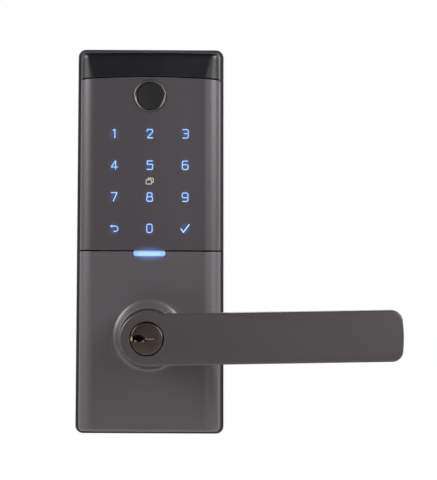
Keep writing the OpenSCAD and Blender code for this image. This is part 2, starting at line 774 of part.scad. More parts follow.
gasket();
rear_housing();
back_plate();
plate_screws();
cover_screws();
fixing_posts();
upper_post();
cable_grommet();
lower_cover();
keypad_panel();
top_cap();
light_bar();
light_board();
fingerprint_ring();
fingerprint_sensor();
keypad_light_guide();
touch_board();
key_leds();
card_antenna();
main_board();
board_spacers();
board_screws();
board_chips();
board_connectors();
buzzer();
sensor_flex();
touch_flex();
motor_bracket();
bracket_screws();
clutch_motor();
motor_leads();
motor_screw();
clutch_shoe();
clutch_pin();
clutch_spring();
spindle_hub();
square_spindle();
lever();
drive_sleeve();
lever_washer();
lever_set_screw();
lever_bush();
lever_spring();
lever_stops();
cylinder_body();
driver_pins();
pin_springs();
chamber_caps();
cylinder_plug();
key_pins();
plug_clip();
tailpiece();
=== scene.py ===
"""Looks of a keypad door lock's outside half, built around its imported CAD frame.

Mesh code works in millimetres in the lock's own terms: x to the right, d the height above the door's face,
which runs towards the viewer, and z up from the spindle axis. Form.point() turns them into the frame's metres.
"""

import math
from types import SimpleNamespace

import bmesh
import bpy
from mathutils import Matrix, Vector
from mathutils.geometry import tessellate_polygon


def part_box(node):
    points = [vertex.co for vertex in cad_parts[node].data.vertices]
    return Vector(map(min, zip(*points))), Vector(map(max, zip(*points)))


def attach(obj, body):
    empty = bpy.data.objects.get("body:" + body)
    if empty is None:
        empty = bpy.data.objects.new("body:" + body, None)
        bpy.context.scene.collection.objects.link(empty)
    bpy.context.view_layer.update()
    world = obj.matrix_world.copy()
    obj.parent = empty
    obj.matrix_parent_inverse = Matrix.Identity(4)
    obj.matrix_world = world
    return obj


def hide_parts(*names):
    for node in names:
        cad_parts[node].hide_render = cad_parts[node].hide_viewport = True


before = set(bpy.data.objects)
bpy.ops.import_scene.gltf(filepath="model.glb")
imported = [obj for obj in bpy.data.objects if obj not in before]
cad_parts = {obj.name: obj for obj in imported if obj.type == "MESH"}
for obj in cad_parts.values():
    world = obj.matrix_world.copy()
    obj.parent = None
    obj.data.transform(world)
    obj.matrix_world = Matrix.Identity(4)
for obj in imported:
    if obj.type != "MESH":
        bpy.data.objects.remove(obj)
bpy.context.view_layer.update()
scene = bpy.context.scene

MM = 0.001


def extent(node):
    """A CAD node's box in millimetres, with d as the height above the door"""
    low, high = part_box(node)
    return SimpleNamespace(
        left=low.x / MM, right=high.x / MM, low=-high.y / MM, high=-low.y / MM,
        bottom=low.z / MM, top=high.z / MM
    )


HOUSING = extent("rear_housing")
LOWER = extent("lower_cover")
PANEL = extent("keypad_panel")
CAP = extent("top_cap")
LEVER = extent("lever")
BODY = extent("cylinder_body")
PLUG = extent("cylinder_plug")
RING = extent("fingerprint_ring")
LIGHT = extent("light_bar")
LIGHT_Z = (LIGHT.bottom + LIGHT.top) / 2
SEAM_GAP = 0.4
# The cap's clips reach under the panel, so its seam is measured from the panel
CAP.bottom = PANEL.top + SEAM_GAP

# Covers
BASE_D = HOUSING.high
FACE_D = PANEL.high
WALL = 2.0
SHOULDER_W = 7.4
SHOULDER_D = 6.2
SHOULDER_STEPS = 16
END_STEPS = 8
LOWER_TOP = PANEL.bottom - 0.55
# The covers' foot, from the lip up to the wall: how far in from the lip, and how far above the rear housing
FOOT = ((0, 0), (0, 0.1), (0.05, 0.22), (0.15, 0.33), (0.3, 0.47), (0.45, 0.6), (0.55, 0.66), (0.61, 0.72),
        (0.64, 0.8), (0.65, 0.95), (0.65, 2.5))
DRAFT = FOOT[-1][0]
# Points of a side before its flat face starts
SIDE_POINTS = len(FOOT) + SHOULDER_STEPS
# A height that no point reaches, for rows that aren't held down
NO_CLAMP = 99
CROWN = 0.45
CORNER_R = 2.6
CAP_SLOPE = math.radians(5)
CAP_EDGE_R = 2.2
# How far the cap seam and the top edge fall from the middle to the sides
SEAM_ARCH = 1.15
TOP_ARCH = 0.35

# Collar and lever
LEVER_END = 114.0
FLARE_R = 16.8
RIM_R = 13.6
RIM_D = LOWER.high
COLLAR_BORE = 12.3
BUSH_R = 11.0
BUSH_D = (22.0, 31.2)
HUB_R = 12.1
NECK_R = 12.05
BAR_HALF = 11.5
BAR_DROP = 0.5
TIP_R = 5.0
TIP_BOW = 0.35
BOW_STEPS = 6
LEVER_TILT = math.radians(1.2)
BAR_BACK = 45.0
NECK_TOP = 47.8
BORE_R = 7.7
SLEEVE_R = 9.25
SLEEVE_TOP = 44.2
CUT_D = 20.0
GRUB_R = 2.05
GRUB_D = 39.5

# Key cylinder
SHELL_R = 7.6
PLUG_BORE = 6.12
PLUG_R = 6.0
PLUG_FACE_R = 7.2
PLUG_FACE_D = LEVER.high + 0.15
PLUG_EDGE = 0.4
CLIP_GROOVE = (33.2, 33.9)
PIN_COUNT = 5
PIN_FIRST = 38
PIN_PITCH = 3.8
PIN_HOLE_R = 1.5

# Keypad
KEY_PITCH = 16.3
KEY_ROWS = (49.3, 63.7, 78.35, 92.8)
CARD_Z = (KEY_ROWS[1] + KEY_ROWS[2]) / 2
SENSOR_Z = (RING.bottom + RING.top) / 2 - 0.3
SENSOR_HOLE_R = 7.35
RING_R = 7.3
PAD_R = 6.25

# Studio
FLOOR_Z = -450
FLOOR_HALF_W = 1600
FLOOR_HALF_D = 1500
CAMERA_PLACE = (0.03175, -1.0, 0.0441)
CAMERA_ROLL = 0.27
CAMERA_LENS = 159.2


# ---- Mesh tools ------------------------------------------------------------


class Form:
    """A mesh that is built point by point"""

    def __init__(self):
        self.bm = bmesh.new()

    def point(self, x, d, z):
        return self.bm.verts.new((x * MM, -d * MM, z * MM))

    def loop(self, points):
        return [self.point(*p) for p in points]

    def face(self, verts, index=0):
        verts = list(dict.fromkeys(verts))
        if len(verts) > 2:
            f = self.bm.faces.get(verts) or self.bm.faces.new(verts)
            f.material_index = index
            return f

    def bridge(self, a, b, closed=True, index=0):
        count = len(a) if closed else len(a) - 1
        for i in range(count):
            j = (i + 1) % len(a)
            self.face((a[i], a[j], b[j], b[i]), index)

    def skin(self, loops, closed=True, index=0):
        for a, b in zip(loops, loops[1:]):
            self.bridge(a, b, closed, index)

    def turned(self, profile, at=(0.0, 0.0), segments=96, index=0):
        """A solid from a profile of (radius, height) points, from axis to axis or closed on itself"""
        rings = []
        for r, d in profile:
            if r < 1e-6:
                rings.append([self.point(at[0], d, at[1])] * segments)
            else:
                rings.append(self.loop(circle(r, d, at, segments)))
        if profile[0][0] > 1e-6 or profile[-1][0] > 1e-6:
            rings.append(rings[0])
        self.skin(rings, index=index)
        return rings

    def piece(self, name, merge=1e-7):
        """The mesh as a new object at the origin, closed faces pointing outwards"""
        bmesh.ops.remove_doubles(self.bm, verts=self.bm.verts, dist=merge)
        bmesh.ops.dissolve_degenerate(self.bm, edges=self.bm.edges, dist=1e-8)
        loose = [v for v in self.bm.verts if not v.link_faces]
        bmesh.ops.delete(self.bm, geom=loose, context="VERTS")
        bmesh.ops.recalc_face_normals(self.bm, faces=self.bm.faces)
        mesh = bpy.data.meshes.new(name)
        self.bm.to_mesh(mesh)
        self.bm.free()
        obj = bpy.data.objects.new(name, mesh)
        scene.collection.objects.link(obj)
        return obj


def circle(r, d, at=(0.0, 0.0), segments=96):
    return [
        (at[0] + r * math.cos(a), d, at[1] + r * math.sin(a))
        for a in (2 * math.pi * i / segments for i in range(segments))
    ]


def arc(centre, r, start, end, steps):
    """Points on an arc, with angles in degrees"""
    angles = [math.radians(start + (end - start) * i / steps) for i in range(steps + 1)]
    return [(centre[0] + r * math.cos(a), centre[1] + r * math.sin(a)) for a in angles]


def smooth(obj, angle=35):
    obj.data.polygons.foreach_set("use_smooth", [True] * len(obj.data.polygons))
    obj.data.set_sharp_from_angle(angle=math.radians(angle))


def bevel(obj, width, angle=50, segments=3):
    m = obj.modifiers.new("bevel", "BEVEL")
    m.width = width * MM
    m.segments = segments
    m.limit_method = "ANGLE"
    m.angle_limit = math.radians(angle)
    m.use_clamp_overlap = False
    m.harden_normals = True
    return m


def settle(obj):
    """Applies an object's modifiers to its mesh"""
    dg = bpy.context.evaluated_depsgraph_get()
    mesh = bpy.data.meshes.new_from_object(obj.evaluated_get(dg))
    obj.modifiers.clear()
    obj.data = mesh


def combine(obj, other, operation):
    """A boolean of two solids; the cut faces keep the other's material"""
    m = obj.modifiers.new("boolean", "BOOLEAN")
    m.object = other
    m.operation = operation
    m.solver = "EXACT"
    m.material_mode = "TRANSFER"
    settle(obj)
    bpy.data.objects.remove(other)


def tool(build):
    """A solid that is only used to cut or join another"""
    form = Form()
    build(form)
    return form.piece("tool")


def block(form, x, d, z):
    """A box between pairs of limits"""
    corners = [(x[0], z[0]), (x[1], z[0]), (x[1], z[1]), (x[0], z[1])]
    low, high = ([form.point(cx, level, cz) for cx, cz in corners] for level in d)
    form.bridge(low, high)
    form.face(low)
    form.face(high)


def prism(form, outline, low, high, index=0):
    """A flat outline in x and z, thickened between two heights"""
    a = form.loop([(x, low, z) for x, z in outline])
    b = form.loop([(x, high, z) for x, z in outline])
    form.bridge(a, b, index=index)
    for triangle in tessellate_polygon([[Vector((x, z, 0)) for x, z in outline]]):
        form.face([a[i] for i in triangle], index)
        form.face([b[i] for i in triangle], index)


def dress(obj, body, finishes, slot, *nodes):
    """Puts a finished piece on its CAD body, with its materials, and hides the CAD nodes that it stands for.
    slot is not used.
    """
    obj.data.materials.clear()
    for finish in finishes if isinstance(finishes, (list, tuple)) else [finishes]:
        obj.data.materials.append(finish)
    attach(obj, body)
    if nodes:
        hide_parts(*nodes)
    return obj


# ---- Materials --------------------------------------------------------------


def link_ramp(tree, source, low, high, to_low, to_high):
    """A smooth map of a value in a node tree from one range to another"""
    node = tree.nodes.new("ShaderNodeMapRange")
    node.interpolation_type = "SMOOTHSTEP"
    for socket, value in zip(("From Min", "From Max", "To Min", "To Max"), (low, high, to_low, to_high)):
        node.inputs[socket].default_value = value
    tree.links.new(source, node.inputs["Value"])
    return node.outputs["Result"]


class Finish:
    """A procedural material on a Principled shader, in object coordinates"""

    def __init__(self, name, colour, roughness, metallic=0.0, **sockets):
        self.material = bpy.data.materials.new(name)
        self.material.use_nodes = True
        self.nodes = self.material.node_tree.nodes
        self.links = self.material.node_tree.links
        self.shader = self.nodes["Principled BSDF"]
        self.colour = (*colour, 1)
        self.shader.inputs["Base Color"].default_value = self.colour
        self.shader.inputs["Roughness"].default_value = roughness
        self.shader.inputs["Metallic"].default_value = metallic
        for socket, value in sockets.items():
            self.shader.inputs[socket.replace("_", " ")].default_value = value
        self.place = self.nodes.new("ShaderNodeTexCoord").outputs["Object"]

    def noise(self, scale, detail=3.0, stretch=(1, 1, 1), coordinates=None):
        mapping = self.nodes.new("ShaderNodeMapping")
        mapping.inputs["Scale"].default_value = stretch
        self.links.new(coordinates or self.place, mapping.inputs["Vector"])
        texture = self.nodes.new("ShaderNodeTexNoise")
        texture.inputs["Scale"].default_value = scale
        texture.inputs["Detail"].default_value = detail
        self.links.new(mapping.outputs["Vector"], texture.inputs["Vector"])
        return texture.outputs["Fac"]

    def math(self, operation, a, b=0.0, clamp=False):
        node = self.nodes.new("ShaderNodeMath")
        node.operation = operation
        node.use_clamp = clamp
        for socket, value in zip(node.inputs, (a, b)):
            if isinstance(value, (int, float)):
                socket.default_value = value
            else:
                self.links.new(value, socket)
        return node.outputs[0]

    def length(self, a, b):
        """Square root of the sum of two squares"""
        squares = [self.math("MULTIPLY", value, value) for value in (a, b)]
        return self.math("SQRT", self.math("ADD", *squares))

    def axes(self):
        """The object coordinates as separate numbers"""
        split = self.nodes.new("ShaderNodeSeparateXYZ")
        self.links.new(self.place, split.inputs[0])
        return split.outputs

    def ramp(self, value, low, high, to_low, to_high):
        return link_ramp(self.material.node_tree, value, low, high, to_low, to_high)

    def mix(self, factor, a, b):
        node = self.nodes.new("ShaderNodeMix")
        node.data_type = "RGBA"
        self.links.new(factor, node.inputs["Factor"])
        for socket, value in ((node.inputs[6], a), (node.inputs[7], b)):
            if isinstance(value, tuple):
                socket.default_value = (*value[:3], 1)
            else:
                self.links.new(value, socket)
        return node.outputs[2]

    def shade(self, factor, dark=0.85, light=1.12):
        """Base colour that wanders between a darker and a lighter tone"""
        base = self.colour[:3]
        out = self.mix(factor, tuple(c * dark for c in base), tuple(c * light for c in base))
        self.links.new(out, self.shader.inputs["Base Color"])
        return out

    def rough(self, factor, low, high):
        self.links.new(self.ramp(factor, 0.3, 0.7, low, high), self.shader.inputs["Roughness"])

    def bump(self, height, distance, strength=1.0):
        node = self.nodes.new("ShaderNodeBump")
        node.inputs["Distance"].default_value = distance * MM
        node.inputs["Strength"].default_value = strength
        self.links.new(height, node.inputs["Height"])
        self.links.new(node.outputs["Normal"], self.shader.inputs["Normal"])

    def around(self, x, z):
        """Angle about a line along Y through x, z, and the distance from it, in metres"""
        axes = self.axes()
        dx = self.math("SUBTRACT", axes["X"], x * MM)
        dz = self.math("SUBTRACT", axes["Z"], z * MM)
        return self.math("ARCTAN2", dz, dx), self.length(dx, dz)


def satin_paint(name, colour, glow=0.0, keys=0.0):
    """Satin metallic paint with a fine flake and a faint orange peel"""
    f = Finish(name, colour, 0.42, 0.35, Coat_Weight=0.24, Coat_Roughness=0.28)
    flake = f.noise(5200, 2)
    cloud = f.noise(26, 3)
    f.shade(f.math("ADD", f.math("MULTIPLY", flake, 0.55), f.math("MULTIPLY", cloud, 0.45)), 0.9, 1.1)
    f.rough(f.noise(900, 3), 0.39, 0.46)
    f.bump(f.math("ADD", f.math("MULTIPLY", flake, 0.5), f.noise(1400, 2)), 0.012, 0.35)
    # glow paints the light bar's spill into the paint as emission, a painted pool of light; keys adds the light
    # that leaks through the paint round the lit keys
    if glow:
        light = light_spill(f, glow)
        if keys:
            light = f.math("ADD", light, key_spill(f, keys))
        f.links.new(light, f.shader.inputs["Emission Strength"])
        f.shader.inputs["Emission Color"].default_value = (0.10, 0.16, 0.55, 1)
    return f.material


def light_spill(f, strength):
    """Painted light: blue emission in the paint about the bar, standing in for the light that the bar throws on
    it
    """
    axes = f.axes()
    across = f.math("MULTIPLY", axes["X"], 0.42)
    up = f.math("SUBTRACT", axes["Z"], LIGHT_Z * MM)
    fade = f.ramp(f.length(across, up), 0.8 * MM, 5.0 * MM, 1.0, 0.0)
    return f.math("MULTIPLY", f.math("MULTIPLY", fade, fade), strength)


def key_spill(f, strength):
    """Blue light that leaks through the paint about each lit key"""
    axes = f.axes()
    pitch_z = (KEY_ROWS[-1] - KEY_ROWS[0]) / (len(KEY_ROWS) - 1)
    across = f.math("PINGPONG", axes["X"], KEY_PITCH / 2 * MM)
    rise = f.math("SUBTRACT", axes["Z"], KEY_ROWS[0] * MM)
    up = f.math("MULTIPLY", f.math("PINGPONG", rise, pitch_z / 2 * MM), 0.8)
    fade = f.ramp(f.length(across, up), 0.6 * MM, 3.3 * MM, 1.0, 0.0)
    from_middle = f.math("ABSOLUTE", axes["X"])
    side = f.ramp(from_middle, KEY_PITCH * 1.3 * MM, KEY_PITCH * 1.5 * MM, 1.0, 0.0)
    top = f.ramp(axes["Z"], (KEY_ROWS[-1] + 5) * MM, (KEY_ROWS[-1] + 7) * MM, 1.0, 0.0)
    return f.math("MULTIPLY", f.math("MULTIPLY", fade, side), f.math("MULTIPLY", top, strength))


def gloss_plastic(name, colour, roughness=0.16, coat=0.5, specular=0.5):
    f = Finish(name, colour, roughness, Coat_Weight=coat, Coat_Roughness=roughness, Specular_IOR_Level=specular)
    f.shade(f.noise(60, 4), 0.85, 1.2)
    f.rough(f.noise(240, 4), roughness * 0.95, roughness * 1.06)
    f.bump(f.noise(900, 2), 0.004, 0.15)
    return f.material


def moulded_plastic(name, colour, roughness=0.5, grain=1800):
    f = Finish(name, colour, roughness)
    spark = f.noise(grain, 3)
    f.shade(f.noise(90, 4), 0.85, 1.18)
    f.rough(f.noise(400, 3), roughness * 0.88, roughness * 1.12)
    f.bump(spark, 0.03, 0.5)
    return f.material


def rubber(name, colour):
    f = Finish(name, colour, 0.82, Sheen_Weight=0.15, Sheen_Roughness=0.6)
    f.shade(f.noise(140, 5), 0.75, 1.25)
    f.rough(f.noise(600, 4), 0.74, 0.9)
    f.bump(f.noise(1500, 4), 0.05, 0.6)
    return f.material


def plated_metal(name, colour, roughness=0.28, stretch=(1, 1, 1), scale=700):
    """Plated or machined metal, with tool marks that run along the axis that is stretched least"""
    f = Finish(name, colour, roughness, 1.0)
    marks = f.noise(scale, 4, stretch)
    f.shade(f.noise(120, 4), 0.82, 1.12)
    f.rough(marks, roughness * 0.75, roughness * 1.35)
    f.bump(marks, 0.012, 0.4)
    return f.material


def circuit_board(name, colour):
    """Solder resist with a faint weave and traces under it"""
    f = Finish(name, colour, 0.32, Coat_Weight=0.3, Coat_Roughness=0.2)
    traces = f.noise(420, 0, (1, 1, 0.25))
    lines = f.ramp(traces, 0.47, 0.53, 0.0, 1.0)
    f.shade(lines, 0.75, 1.45)
    f.rough(f.noise(800, 3), 0.28, 0.4)
    f.bump(lines, 0.02, 0.4)
    return f.material


def radial_brushed(name, colour, at, roughness=0.34):
    """Metal face brushed outwards from its centre, with painted reflection streaks in its colour"""
    f = Finish(name, colour, roughness, 1.0)
    angle, radius = f.around(*at)
    turn = f.nodes.new("ShaderNodeCombineXYZ")
    f.links.new(f.math("SINE", angle), turn.inputs["X"])
    f.links.new(f.math("COSINE", angle), turn.inputs["Y"])
    f.links.new(f.math("MULTIPLY", radius, 40), turn.inputs["Z"])
    brush_marks_and_sheen = f.noise(26, 5, (1, 1, 1), turn.outputs[0])
    tarnish = f.noise(260, 4)
    # The colour swings widely along the brush marks: a painted sheen for the brushed face's reflections, over a
    # faint tarnish
    f.shade(f.math("ADD", f.math("MULTIPLY", brush_marks_and_sheen, 0.7), f.math("MULTIPLY", tarnish, 0.3)), 0.55, 1.5)
    f.rough(brush_marks_and_sheen, roughness * 0.8, roughness * 1.3)
    f.bump(brush_marks_and_sheen, 0.02, 0.5)
    return f.material


def glowing(name, colour, strength, scale=500):
    """Lit print or a lens, a little uneven as a light guide is"""
    f = Finish(name, tuple(0.25 * c for c in colour), 0.4)
    f.shade(f.noise(scale, 2), 0.8, 1.2)
    f.shader.inputs["Emission Color"].default_value = (*colour, 1)
    f.links.new(f.ramp(f.noise(scale, 2), 0.2, 0.8, strength * 0.88, strength * 1.1),
                f.shader.inputs["Emission Strength"])
    return f.material


def light_bar_lens():
    """A diffusing lens, brightest at its middle"""
    f = Finish("light_bar_lens", (0.1, 0.15, 0.25), 0.25, Coat_Weight=0.3)
    axes = f.axes()
    x = f.math("ABSOLUTE", axes["X"])
    end = f.ramp(x, 0.5 * LIGHT.right * MM, LIGHT.right * MM, 1.0, 0.75)
    half = (LIGHT.top - LIGHT.bottom) / 2
    z = f.math("ABSOLUTE", f.math("SUBTRACT", axes["Z"], LIGHT_Z * MM))
    edge = f.ramp(z, 0.4 * half * MM, 1.2 * half * MM, 1.0, 0.55)
    level = f.math("MULTIPLY", end, edge)
    colour = f.mix(level, (0.07, 0.16, 0.75), (0.38, 0.64, 1.0))
    f.links.new(colour, f.shader.inputs["Emission Color"])
    f.links.new(f.math("MULTIPLY", level, f.ramp(f.noise(900, 2), 0.2, 0.8, 0.88, 0.98)),
                f.shader.inputs["Emission Strength"])
    f.shade(f.noise(700, 2), 0.9, 1.1)
    return f.material


# glow paints the light bar's blue spill into these two paints as emission: painted light
PAINT_LOWER = satin_paint("graphite_paint_lower", (0.078, 0.0705, 0.076), glow=0.75)
PAINT_PANEL = satin_paint("graphite_paint_panel", (0.051, 0.0435, 0.048), glow=0.75, keys=0.16)
PAINT_LEVER = satin_paint("lever_paint", (0.0475, 0.041, 0.042))
GLOSS_BLACK = gloss_plastic("gloss_black", (0.003, 0.0026, 0.0045), 0.36, 0.2, 0.28)
SENSOR_BLACK = gloss_plastic("sensor_black", (0.0045, 0.0042, 0.005), 0.35, 0.2)
RING_METAL = plated_metal("sensor_ring_metal", (0.15, 0.145, 0.147), 0.38)
HOUSING_BLACK = moulded_plastic("housing_black", (0.022, 0.021, 0.024))
RUBBER_BLACK = rubber("rubber_black", (0.018, 0.018, 0.019))
ZINC = plated_metal("zinc_steel", (0.55, 0.56, 0.58), 0.34)
SCREW = plated_metal("screw_steel", (0.6, 0.6, 0.6), 0.28)
SPRING = plated_metal("spring_steel", (0.5, 0.5, 0.52), 0.24)
SINTERED = plated_metal("sintered_steel", (0.42, 0.42, 0.43), 0.45, scale=1500)
# The plug's face: dark bronze with painted reflection streaks in its colour
BRONZE_FACE = radial_brushed("dark_bronze_face", (0.085, 0.068, 0.062), (0, 0))
BRONZE = plated_metal("dark_bronze", (0.06, 0.05, 0.046), 0.4)
BRASS = plated_metal("pin_brass", (0.62, 0.45, 0.2), 0.3)
BUSH = plated_metal("bush_bronze", (0.5, 0.36, 0.18), 0.45, scale=1600)
BOARD = circuit_board("board_green", (0.012, 0.09, 0.035))
CHIP = moulded_plastic("chip_black", (0.012, 0.012, 0.013), 0.55, 2600)
CONNECTOR = moulded_plastic("connector_cream", (0.62, 0.57, 0.44), 0.45)
FLEX = circuit_board("flex_amber", (0.42, 0.18, 0.03))
COPPER = plated_metal("antenna_copper", (0.72, 0.33, 0.17), 0.3)
LED = glowing("led_lens", (0.35, 0.55, 1.0), 0.8)
PIPE = gloss_plastic("light_pipe", (0.62, 0.66, 0.7), 0.3)
NYLON = moulded_plastic("nylon_ivory", (0.6, 0.57, 0.47), 0.5)
MOTOR = plated_metal("motor_steel", (0.48, 0.49, 0.5), 0.3, (1, 1, 0.1))
LEAD_RED = moulded_plastic("lead_insulation", (0.3, 0.02, 0.015), 0.4)
LIT_PRINT = glowing("lit_print", (0.30, 0.50, 0.86), 1.12)
LIT_CHECK = glowing("lit_print_bright", (0.36, 0.60, 0.95), 1.4)
BLEED = glowing("lit_print_bleed", (0.055, 0.085, 0.26), 0.9)
CARD_PRINT = glowing("card_print", (0.46, 0.43, 0.34), 1.1)
KEYWAY_BRASS = plated_metal("keyway_brass", (0.95, 0.76, 0.5), 0.36)
# Near-black metal for the keyway's cut walls: painted shade for the deep keyway
KEYWAY_SHADE = plated_metal("keyway_painted_shade", (0.03, 0.024, 0.02), 0.5)
PLUG_RIM = plated_metal("plug_rim", (0.55, 0.5, 0.46), 0.16)


# ---- Covers -----------------------------------------------------------------


def lip_x(z):
    """Half width of the covers at their lip, which narrows upwards"""
    low_z = LOWER.bottom + CORNER_R
    return LOWER.right + (CAP.right - LOWER.right) * (z - low_z) / (CAP.bottom - low_z)


def corner_inset(z):
    """How far a rounded corner pulls the lip in near the covers' two ends"""
    room = min(z - LOWER.bottom, CAP.top - z)
    if room >= CORNER_R:
        return 0.0
    return CORNER_R - math.sqrt(max(0.0, CORNER_R**2 - (CORNER_R - room) ** 2))


def side_curve(lip, face, width, shift):
    """The cover's side from its lip over the bead, the wall and the shoulder, shrunk by shift for the inside"""
    height = SHOULDER_D - (FACE_D - face) - shift
    if shift:
        x_wall = lip - shift
        width += DRAFT - shift
        foot = [(x_wall, BASE_D + rise) for inset, rise in FOOT]
    else:
        x_wall = lip - DRAFT
        height -= CROWN
        foot = [(lip - inset, BASE_D + rise) for inset, rise in FOOT]
    start = FACE_D - SHOULDER_D
    angles = [math.pi / 2 * i / SHOULDER_STEPS for i in range(SHOULDER_STEPS + 1)]
    return foot + [(x_wall - width * (1 - math.cos(a)), start + height * math.sin(a)) for a in angles]


def crown(x, half):
    """How far the slightly domed face has fallen at x"""
    return CROWN * (1 - math.cos(math.pi * min(1.0, abs(x) / half))) / 2


def flare(r):
    """Rise of the collar's concave flare at a distance from the spindle axis"""
    if r >= FLARE_R:
        return 0.0
    sine = min(1.0, (FLARE_R - r) / (FLARE_R - RIM_R))
    return (RIM_D - 1.2 - FACE_D + CROWN) * (1 - math.sqrt(1 - sine * sine))


def cover_row(row, columns, shift):
    """One row of points across a cover from its left lip to its right lip"""
    lip = lip_x(row.z) - corner_inset(row.z)
    side = side_curve(lip, row.face, row.width, shift)
    inner_x, level = side[-1]
    points = []
    flat = [c * row.patch if abs(c) <= 1 else math.copysign(row.patch + (abs(c) - 1) * (inner_x - row.patch), c)
            for c in columns]
    z = row.z
    if shift and row.closed:
        reach = 8.0
        room = abs(z - row.end)
        if room < reach:
            z = row.end + math.copysign(shift + room * (reach - shift) / reach, z - row.end + row.inward * 1e-9)
    for x, d in side[:-1]:
        points.append((-x, min(d, row.clamp), z))
    for x in flat:
        d = level
        if not shift:
            d += CROWN - crown(x, inner_x)
        points.append((x, min(d, row.clamp), z))
    for x, d in reversed(side[:-1]):
        points.append((x, min(d, row.clamp), z))
    return points


def spread(start, end, step):
    """Evenly spaced values from start up to but not including end"""
    count = max(1, round((end - start) / step))
    return [start + (end - start) * i / count for i in range(count)]


def closing_rows(end, inward, face_at, width_at, radius, **common):
    """Rows that turn a cover's closed end down to its lip, from the door outwards"""
    steps = [(inset, radius, BASE_D + height) for inset, height in FOOT]
    for i in range(END_STEPS + 1):
        a = math.radians(90 * i / END_STEPS)
        steps.append((DRAFT + radius * (1 - math.cos(a)), radius * (1 - math.sin(a)), NO_CLAMP))
    rows = []
    for inset, fall, clamp in steps:
        z = end + inward * inset
        rows.append(SimpleNamespace(z=z, face=face_at(z) - fall, clamp=clamp, end=end, inward=inward,
                                    width=width_at(z), **common))
    return rows


def grid_cover(rows, patch=None, notch=None):
    """A closed cover from its rows. patch is what round_hole takes after its columns, and notch is
    (z, first, last): the cells between two columns that are left out above that z."""
    form = Form()
    columns = rows[0].columns
    outer = [form.loop(cover_row(r, columns, 0)) for r in rows]
    inner = [form.loop(cover_row(r, columns, WALL)) for r in rows]
    left = SIDE_POINTS + columns.index(-1.0)
    right = SIDE_POINTS + columns.index(1.0)
    width = len(outer[0])

    def left_out(i, j):
        if patch and rows[i].in_patch and rows[i + 1].in_patch and left <= j < right:
            return True
        return bool(notch) and rows[i].z >= notch[0] - 1e-6 and notch[1] <= j < notch[2]

    kept = {(i, j) for i in range(len(rows) - 1) for j in range(width - 1) if not left_out(i, j)}
    for i, j in kept:
        for sheet in (outer, inner):
            form.face((sheet[i][j], sheet[i][j + 1], sheet[i + 1][j + 1], sheet[i + 1][j]))
    if patch:
        round_hole(form, rows, (outer, inner), left, right, *patch)
    span = [i for i, row in enumerate(rows) if row.in_patch] if patch else []

    def in_patch(i, j):
        return bool(patch) and span[0] <= i <= span[-1] and left <= j <= right

    edge_walls(form, kept, outer, inner, in_patch)
    return form


def edge_walls(form, kept, outer, inner, in_patch):
    """Walls that join the outer and inner sheets along every free edge, save the patch's"""
    sides = ((-1, 0, ((0, 0), (0, 1))), (1, 0, ((1, 0), (1, 1))),
             (0, -1, ((0, 0), (1, 0))), (0, 1, ((0, 1), (1, 1))))
    for i, j in kept:
        for di, dj, corners in sides:
            if (i + di, j + dj) in kept:
                continue
            (ai, aj), (bi, bj) = [(i + ci, j + cj) for ci, cj in corners]
            if in_patch(ai, aj) and in_patch(bi, bj):
                continue
            form.face((outer[ai][aj], outer[bi][bj], inner[bi][bj], inner[ai][aj]))


def face_level(x, z):
    return FACE_D - crown(x, lip_x(z) - DRAFT - SHOULDER_W)


def round_hole(form, rows, sheets, left, right, centre_z, radii, chain, rise=None):
    """A round hole in a square patch of both sheets: rings shrink from the square to the hole, and a chain of
    (radius, height) points joins the two sheets through it"""
    span = [i for i, row in enumerate(rows) if row.in_patch]
    low, high = span[0], span[-1]
    border = [(low, j) for j in range(left, right)] + [(i, right) for i in range(low, high)]
    border += [(high, j) for j in range(right, left, -1)] + [(i, left) for i in range(high, low, -1)]
    square = [(sheets[0][i][j].co.x / MM, sheets[0][i][j].co.z / MM - centre_z) for i, j in border]
    ends = []
    for number, sheet in enumerate(sheets):
        loops = [[sheet[i][j] for i, j in border]]
        blends = [(radii[0], t) for t in (0.3, 0.6, 0.85)] + [(r, 1.0) for r in radii]
        for r, t in blends:
            loop = []
            for x, z in square:
                length = math.hypot(x, z)
                px, pz = x + (r * x / length - x) * t, z + (r * z / length - z) * t
                level = FACE_D - WALL if number else face_level(px, centre_z + pz)
                if rise and not number and t == 1.0:
                    level = max(level, level + rise(r))
                loop.append((px, level, centre_z + pz))
            loops.append(form.loop(loop))
        form.skin(loops)
        ends.append(loops[-1])
    tunnel = [ends[0]]
    rays = [(x / math.hypot(x, z), z / math.hypot(x, z)) for x, z in square]
    for r, d in chain:
        tunnel.append(form.loop([(r * x, d, centre_z + r * z) for x, z in rays]))
    form.skin(tunnel + [ends[1]])


def full_width(z):
    return SHOULDER_W


def flat_face(z):
    return FACE_D


def open_rows(levels, columns, patch, in_patch=lambda z: False, face_at=flat_face, width_at=full_width):
    return [
        SimpleNamespace(z=z, face=face_at(z), clamp=NO_CLAMP, width=width_at(z), closed=False, columns=columns,
                        patch=patch, in_patch=in_patch(z), end=0, inward=1)
        for z in levels
    ]


def flat_columns(count, outside):
    """Columns of the flat face: -1 to 1 across the patch, and out to 2 either side of it"""
    middle = [-1 + 2 * i / count for i in range(count + 1)]
    beyond = [1 + (i + 1) / outside for i in range(outside)]
    return [-b for b in reversed(beyond)] + middle + beyond


def arch(form, start, end, low, high):
    """Lowers a cover's sides, by low at the start height and by high at the end height"""
    for v in form.bm.verts:
        part = min(1.0, max(0.0, (v.co.z / MM - start) / (end - start)))
        fall = low + (high - low) * part
        v.co.z -= fall * (v.co.x / MM / CAP.right) ** 2 * MM


